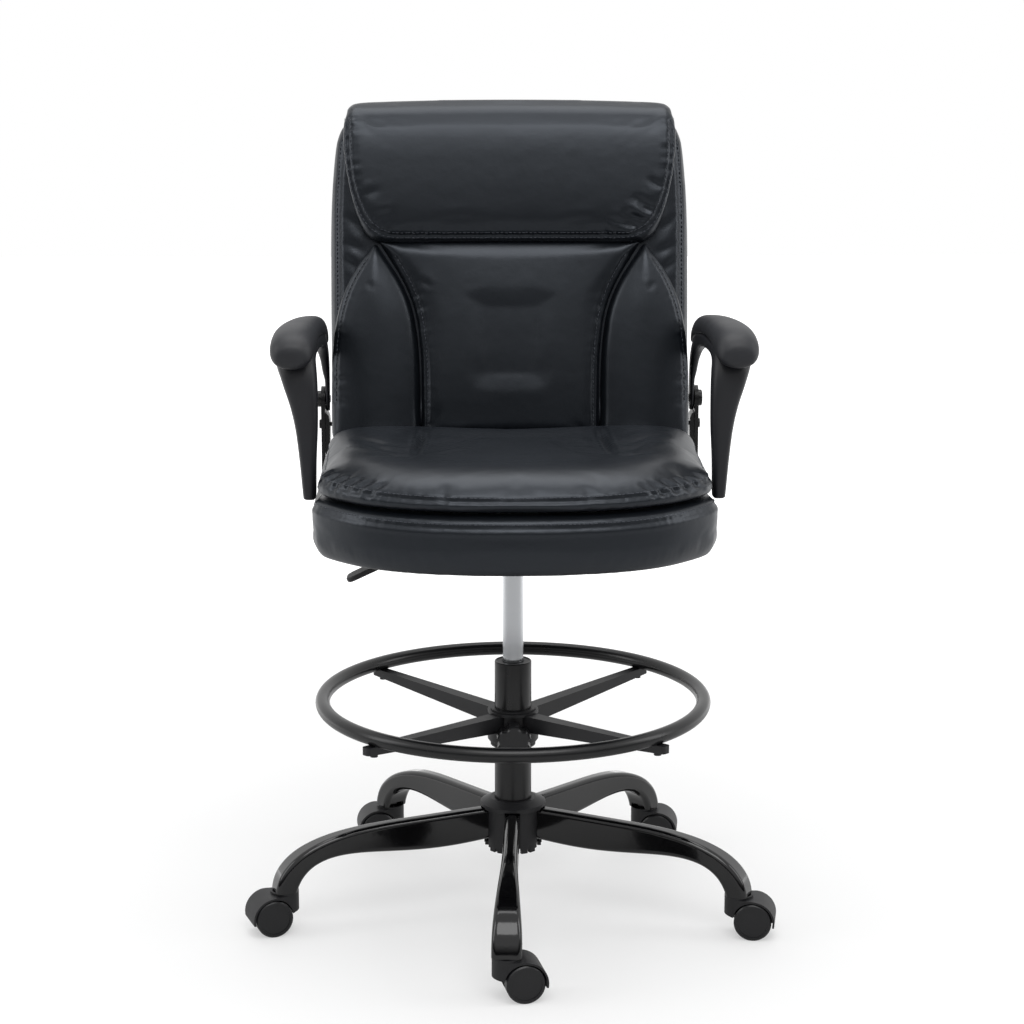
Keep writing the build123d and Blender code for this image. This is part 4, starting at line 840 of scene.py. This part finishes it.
# Arms: a moulded loop from the front post over to the rear eye, under a skinned foam pad
armFrame = {
    # the middle's y and z, the way it runs in degrees from upright, its depth, and its inner and outer x
    "rows": [
        (-0.096, 0.5945, 0, 0.018, 0.2585, 0.2700), (-0.096, 0.5965, 0, 0.029, 0.2568, 0.2718),
        (-0.096, 0.6020, 0, 0.034, 0.2560, 0.2730), (-0.096, 0.6450, 0, 0.036, 0.2550, 0.2765),
        (-0.096, 0.6850, 0, 0.036, 0.2528, 0.2810), (-0.096, 0.7150, 1, 0.038, 0.2522, 0.2872),
        (-0.0945, 0.7420, 8, 0.043, 0.2524, 0.2960), (-0.087, 0.7610, 32, 0.046, 0.2535, 0.3030),
        (-0.068, 0.7745, 62, 0.036, 0.2555, 0.3075), (-0.040, 0.7790, 84, 0.0215, 0.2560, 0.3085),
        (0.010, 0.7792, 90, 0.0200, 0.2560, 0.3030), (0.070, 0.7765, 94, 0.0200, 0.2555, 0.2890),
        (0.125, 0.7705, 99, 0.0205, 0.2550, 0.2765), (0.168, 0.7600, 112, 0.0230, 0.2546, 0.2700),
        (0.196, 0.7430, 138, 0.0280, 0.2543, 0.2665), (0.209, 0.7270, 168, 0.0325, 0.2541, 0.2650),
        (0.212, 0.7150, 180, 0.0335, 0.2541, 0.2635), (0.212, 0.7040, 180, 0.0340, 0.2541, 0.2608),
        (0.212, 0.6900, 180, 0.0340, 0.2541, 0.2602), (0.212, 0.6760, 180, 0.0340, 0.2541, 0.2602),
        (0.212, 0.6670, 180, 0.0288, 0.2541, 0.2602), (0.212, 0.6615, 180, 0.0176, 0.2542, 0.2601),
        (0.212, 0.6595, 180, 0.0080, 0.2545, 0.2598),
    ],
    "squareness": 3.4,
}
armPad = {
    # y, inner and outer x, underside z at the middle, top z, and how round the underside is, from 0 to 1
    "rows": [
        (0.2200, 0.2590, 0.2665, 0.7570, 0.7630, 0.6), (0.2170, 0.2560, 0.2705, 0.7535, 0.7700, 0.3),
        (0.2080, 0.2545, 0.2725, 0.7560, 0.7800, 0.1), (0.1850, 0.2542, 0.2745, 0.7650, 0.7910, 0.0),
        (0.1500, 0.2542, 0.2790, 0.7735, 0.8000, 0.0), (0.1060, 0.2544, 0.2860, 0.7805, 0.8070, 0.0),
        (0.0500, 0.2548, 0.2985, 0.7860, 0.8130, 0.0), (0.0000, 0.2548, 0.3070, 0.7885, 0.8155, 0.0),
        (-0.0450, 0.2545, 0.3105, 0.7885, 0.8165, 0.1), (-0.0800, 0.2543, 0.3112, 0.7840, 0.8165, 0.35),
        (-0.1050, 0.2545, 0.3112, 0.7755, 0.8150, 0.7), (-0.1220, 0.2560, 0.3100, 0.7690, 0.8110, 1.0),
        (-0.1320, 0.2600, 0.3062, 0.7682, 0.8050, 1.0), (-0.1375, 0.2662, 0.3000, 0.7720, 0.7980, 1.0),
        (-0.1394, 0.2760, 0.2905, 0.7785, 0.7910, 1.0),
    ],
}


def signedPower(value, exponent):
    # a power that keeps the sign, which squares off or rounds a section
    return np.sign(value) * np.abs(value) ** exponent


def armLoop(row, squareness):
    y, z, lean, deep, inner, outer = row
    around = np.linspace(0, 2 * pi, 44, endpoint=False)
    away = signedPower(np.cos(around), 2 / squareness) * deep / 2
    across = (inner + outer) / 2 + signedPower(np.sin(around), 2 / squareness) * (outer - inner) / 2
    lean = radians(lean)
    return np.column_stack([across, y + away * cos(lean), z - away * sin(lean)])


def padLoop(row):
    y, inner, outer, under, top, roundness = row
    around = np.linspace(0, 2 * pi, 48, endpoint=False)
    belly = under + (top - under) * (0.3 + 0.15 * roundness)
    across = (inner + outer) / 2 + signedPower(np.cos(around), 0.92) * (outer - inner) / 2
    above = belly + (top - belly) * signedPower(np.sin(around), 0.9)
    below = belly - (belly - under) * np.abs(np.sin(around)) ** (0.35 + 0.5 * roundness)
    return np.column_stack([across, np.full(48, y), np.where(np.sin(around) >= 0, above, below)])


for side, hand in ((1, "left"), (-1, "right")):
    mirror = np.array([side, 1, 1])
    rows = throughRows(armFrame["rows"], 5)
    loop = loft("armFrame_" + hand, [armLoop(row, armFrame["squareness"]) * mirror for row in rows])
    rows = throughRows(armPad["rows"], 5)
    pad = loft("armPad_" + hand, [padLoop(row) * mirror for row in rows])
    for piece, material in ((loop, armNylon), (pad, skinFoam)):
        bm = bmesh.new()
        bm.from_mesh(piece.data)
        faceOutward(bm, piece.data)
        piece.data.shade_smooth()
        piece.data.materials.append(material)
        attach(piece, "arm_" + hand)
    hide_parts("arm_frame_" + hand)
    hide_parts("arm_pad_" + hand)
print("arms made")

# Side brackets: the flat angles, joggled in below the arm's eye so that they lie against the backrest
joggle = {
    # z and inner x of the joggle, which runs over these y
    "rows": (
        (0.599, 0.2580), (0.604, 0.2562), (0.615, 0.2540), (0.640, 0.2536), (0.650, 0.2545), (0.655, 0.2562),
        (0.6572, 0.2585),
    ),
    "outer": 0.2600, "along": (0.1965, 0.2275),
}
bm = bmesh.new()
bm.from_mesh(nodes["side_brackets"].data)
bm.transform(nodes["side_brackets"].matrix_world)
near, far = joggle["along"]
for side in (1, -1):
    rings = []
    for z, inner in joggle["rows"]:
        corners = ((inner, near), (inner, far), (joggle["outer"], far), (joggle["outer"], near))
        rings.append([bm.verts.new((side * x, y, z)) for x, y in corners])
    bm.faces.new(rings[0])
    bm.faces.new(rings[-1])
    for below, above in zip(rings, rings[1:]):
        for i in range(4):
            bm.faces.new((below[i], below[(i + 1) % 4], above[(i + 1) % 4], above[i]))
bracketMesh = bpy.data.meshes.new("sideBrackets")
faceOutward(bm, bracketMesh)
bracketMesh.shade_smooth()
bracketMesh.set_sharp_from_angle(angle=radians(35))
bracketMesh.materials.append(powderCoat)
sideBrackets = bpy.data.objects.new("sideBrackets", bracketMesh)
scene.collection.objects.link(sideBrackets)
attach(sideBrackets, "seat")
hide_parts("side_brackets")
print("brackets made")

# Tension spring: its own copy of the part, carried by the lift
springMesh = nodes["tension_spring"].data.copy()
springMesh.transform(nodes["tension_spring"].matrix_world)
spring = bpy.data.objects.new("tensionSpring", springMesh)
scene.collection.objects.link(spring)
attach(spring, "lift")
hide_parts("tension_spring")
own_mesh(spring)

# Camera
viewpoint = {"distance": 3.1, "height": 1.2057, "turn": -1.2, "tilt": 11.84, "lens": 83.26, "shift": -0.001}
cameraData = bpy.data.cameras.new("camera")
cameraData.lens = viewpoint["lens"]
cameraData.shift_x = viewpoint["shift"]
camera = bpy.data.objects.new("camera", cameraData)
turn = radians(viewpoint["turn"])
camera.location = (viewpoint["distance"] * sin(turn), -viewpoint["distance"] * cos(turn), viewpoint["height"])
camera.rotation_euler = (pi / 2 - radians(viewpoint["tilt"]), 0, turn)
scene.collection.objects.link(camera)
scene.camera = camera

# Studio
studio = {
    "floor": "#b9b9b9", "near": 0.42, "far": 1.0, "front": 0.03, "above": 0.8, "behind": 0.9, "mirrored": 0.1,
    # name: place, aim, size, power
    "lamps": {
        "keySoftbox": ((0.2, -2.0, 3.2), (0, 0, 0.6), (2.6, 1.6), 38),
        "topSoftbox": ((0, 0.5, 3.2), (0, 0, 0.6), (2.4, 1.6), 26),
        "leftSoftbox": ((-2.8, -0.4, 1.6), (0, 0, 0.6), (0.8, 2.0), 14),
        "rightSoftbox": ((2.8, -0.2, 1.6), (0, 0, 0.6), (0.8, 2.0), 14),
    },
}
for name, (place, aim, size, power) in studio["lamps"].items():
    lampData = bpy.data.lights.new(name, "AREA")
    lampData.shape = "RECTANGLE"
    lampData.size, lampData.size_y = size
    lampData.energy = power
    lamp = bpy.data.objects.new(name, lampData)
    lamp.location = place
    lamp.rotation_euler = (Vector(aim) - Vector(place)).to_track_quat("-Z", "Y").to_euler()
    scene.collection.objects.link(lamp)

world = bpy.data.worlds.new("studio")
scene.world = world
world.use_nodes = True
tree = world.node_tree
tree.nodes.clear()
ray = addNode(tree, "ShaderNodeLightPath")
direction = addNode(tree, "ShaderNodeTexCoord")
axes = addNode(tree, "ShaderNodeSeparateXYZ", i0=direction.outputs["Generated"])
# the white sweep stands behind the chair, the ceiling is pale and the room in front is dim
sweep = addNode(tree, "ShaderNodeMapRange", {
    "From Min": -0.3, "From Max": 0.7, "To Min": studio["front"], "To Max": studio["behind"],
}, i0=axes.outputs["Y"])
roof = addNode(tree, "ShaderNodeMapRange", {
    "From Min": 0.08, "From Max": 0.40, "To Min": 0.0, "To Max": studio["above"],
}, i0=axes.outputs["Z"])
level = addNode(tree, "ShaderNodeMath", {"operation": "MAXIMUM"}, i0=sweep.outputs[0], i1=roof.outputs[0])
seen = addNode(
    tree, "ShaderNodeMix", {"data_type": "FLOAT"}, i0=ray.outputs["Is Camera Ray"], i2=level.outputs[0],
)
seen.inputs[3].default_value = 1.0
backdrop = addNode(tree, "ShaderNodeBackground", {"Color": (1, 1, 1, 1)}, Strength=seen.outputs[0])
addNode(tree, "ShaderNodeOutputWorld", Surface=backdrop.outputs[0])

floorMesh = bpy.data.meshes.new("floor")
floorMesh.from_pydata([(-9, -9, 0), (9, -9, 0), (9, 9, 0), (-9, 9, 0)], [], [(0, 1, 2, 3)])
floor = bpy.data.objects.new("floor", floorMesh)
scene.collection.objects.link(floor)
material, tree, surface, place = newMaterial("paperSweep")
surface.inputs["Base Color"].default_value = linear(studio["floor"])
surface.inputs["Roughness"].default_value = 0.75
ray = addNode(tree, "ShaderNodeLightPath")
spot = addNode(tree, "ShaderNodeSeparateXYZ", i0=place)
# polished pieces mirror the white paper behind the chair, and the dim room where it ends in front
mirrored = addNode(tree, "ShaderNodeMapRange", {
    "From Min": -0.2, "From Max": 1.6, "To Min": studio["mirrored"], "To Max": 1,
}, i0=spot.outputs["Y"])
inGloss = addNode(
    tree, "ShaderNodeMath", {"operation": "MULTIPLY"}, i0=ray.outputs["Is Glossy Ray"], i1=mirrored.outputs[0],
)
seenFloor = addNode(
    tree, "ShaderNodeMath", {"operation": "MAXIMUM"}, i0=ray.outputs["Is Camera Ray"], i1=inGloss.outputs[0],
)
# the paper brightens away from the chair, so that no edge shows where it meets the backdrop
spread = addNode(tree, "ShaderNodeVectorMath", {"operation": "LENGTH"}, i0=place)
fade = addNode(tree, "ShaderNodeMapRange", {
    "interpolation_type": "SMOOTHSTEP", "From Min": 0.5, "From Max": 2.4,
    "To Min": studio["near"], "To Max": studio["far"],
}, i0=spread.outputs["Value"])
strength = addNode(
    tree, "ShaderNodeMath", {"operation": "MULTIPLY"}, i0=seenFloor.outputs[0], i1=fade.outputs[0],
)
surface.inputs["Emission Color"].default_value = (1, 1, 1, 1)
tree.links.new(strength.outputs[0], surface.inputs["Emission Strength"])
floorMesh.materials.append(material)
print("camera and studio set")

scene.view_settings.view_transform = "Standard"
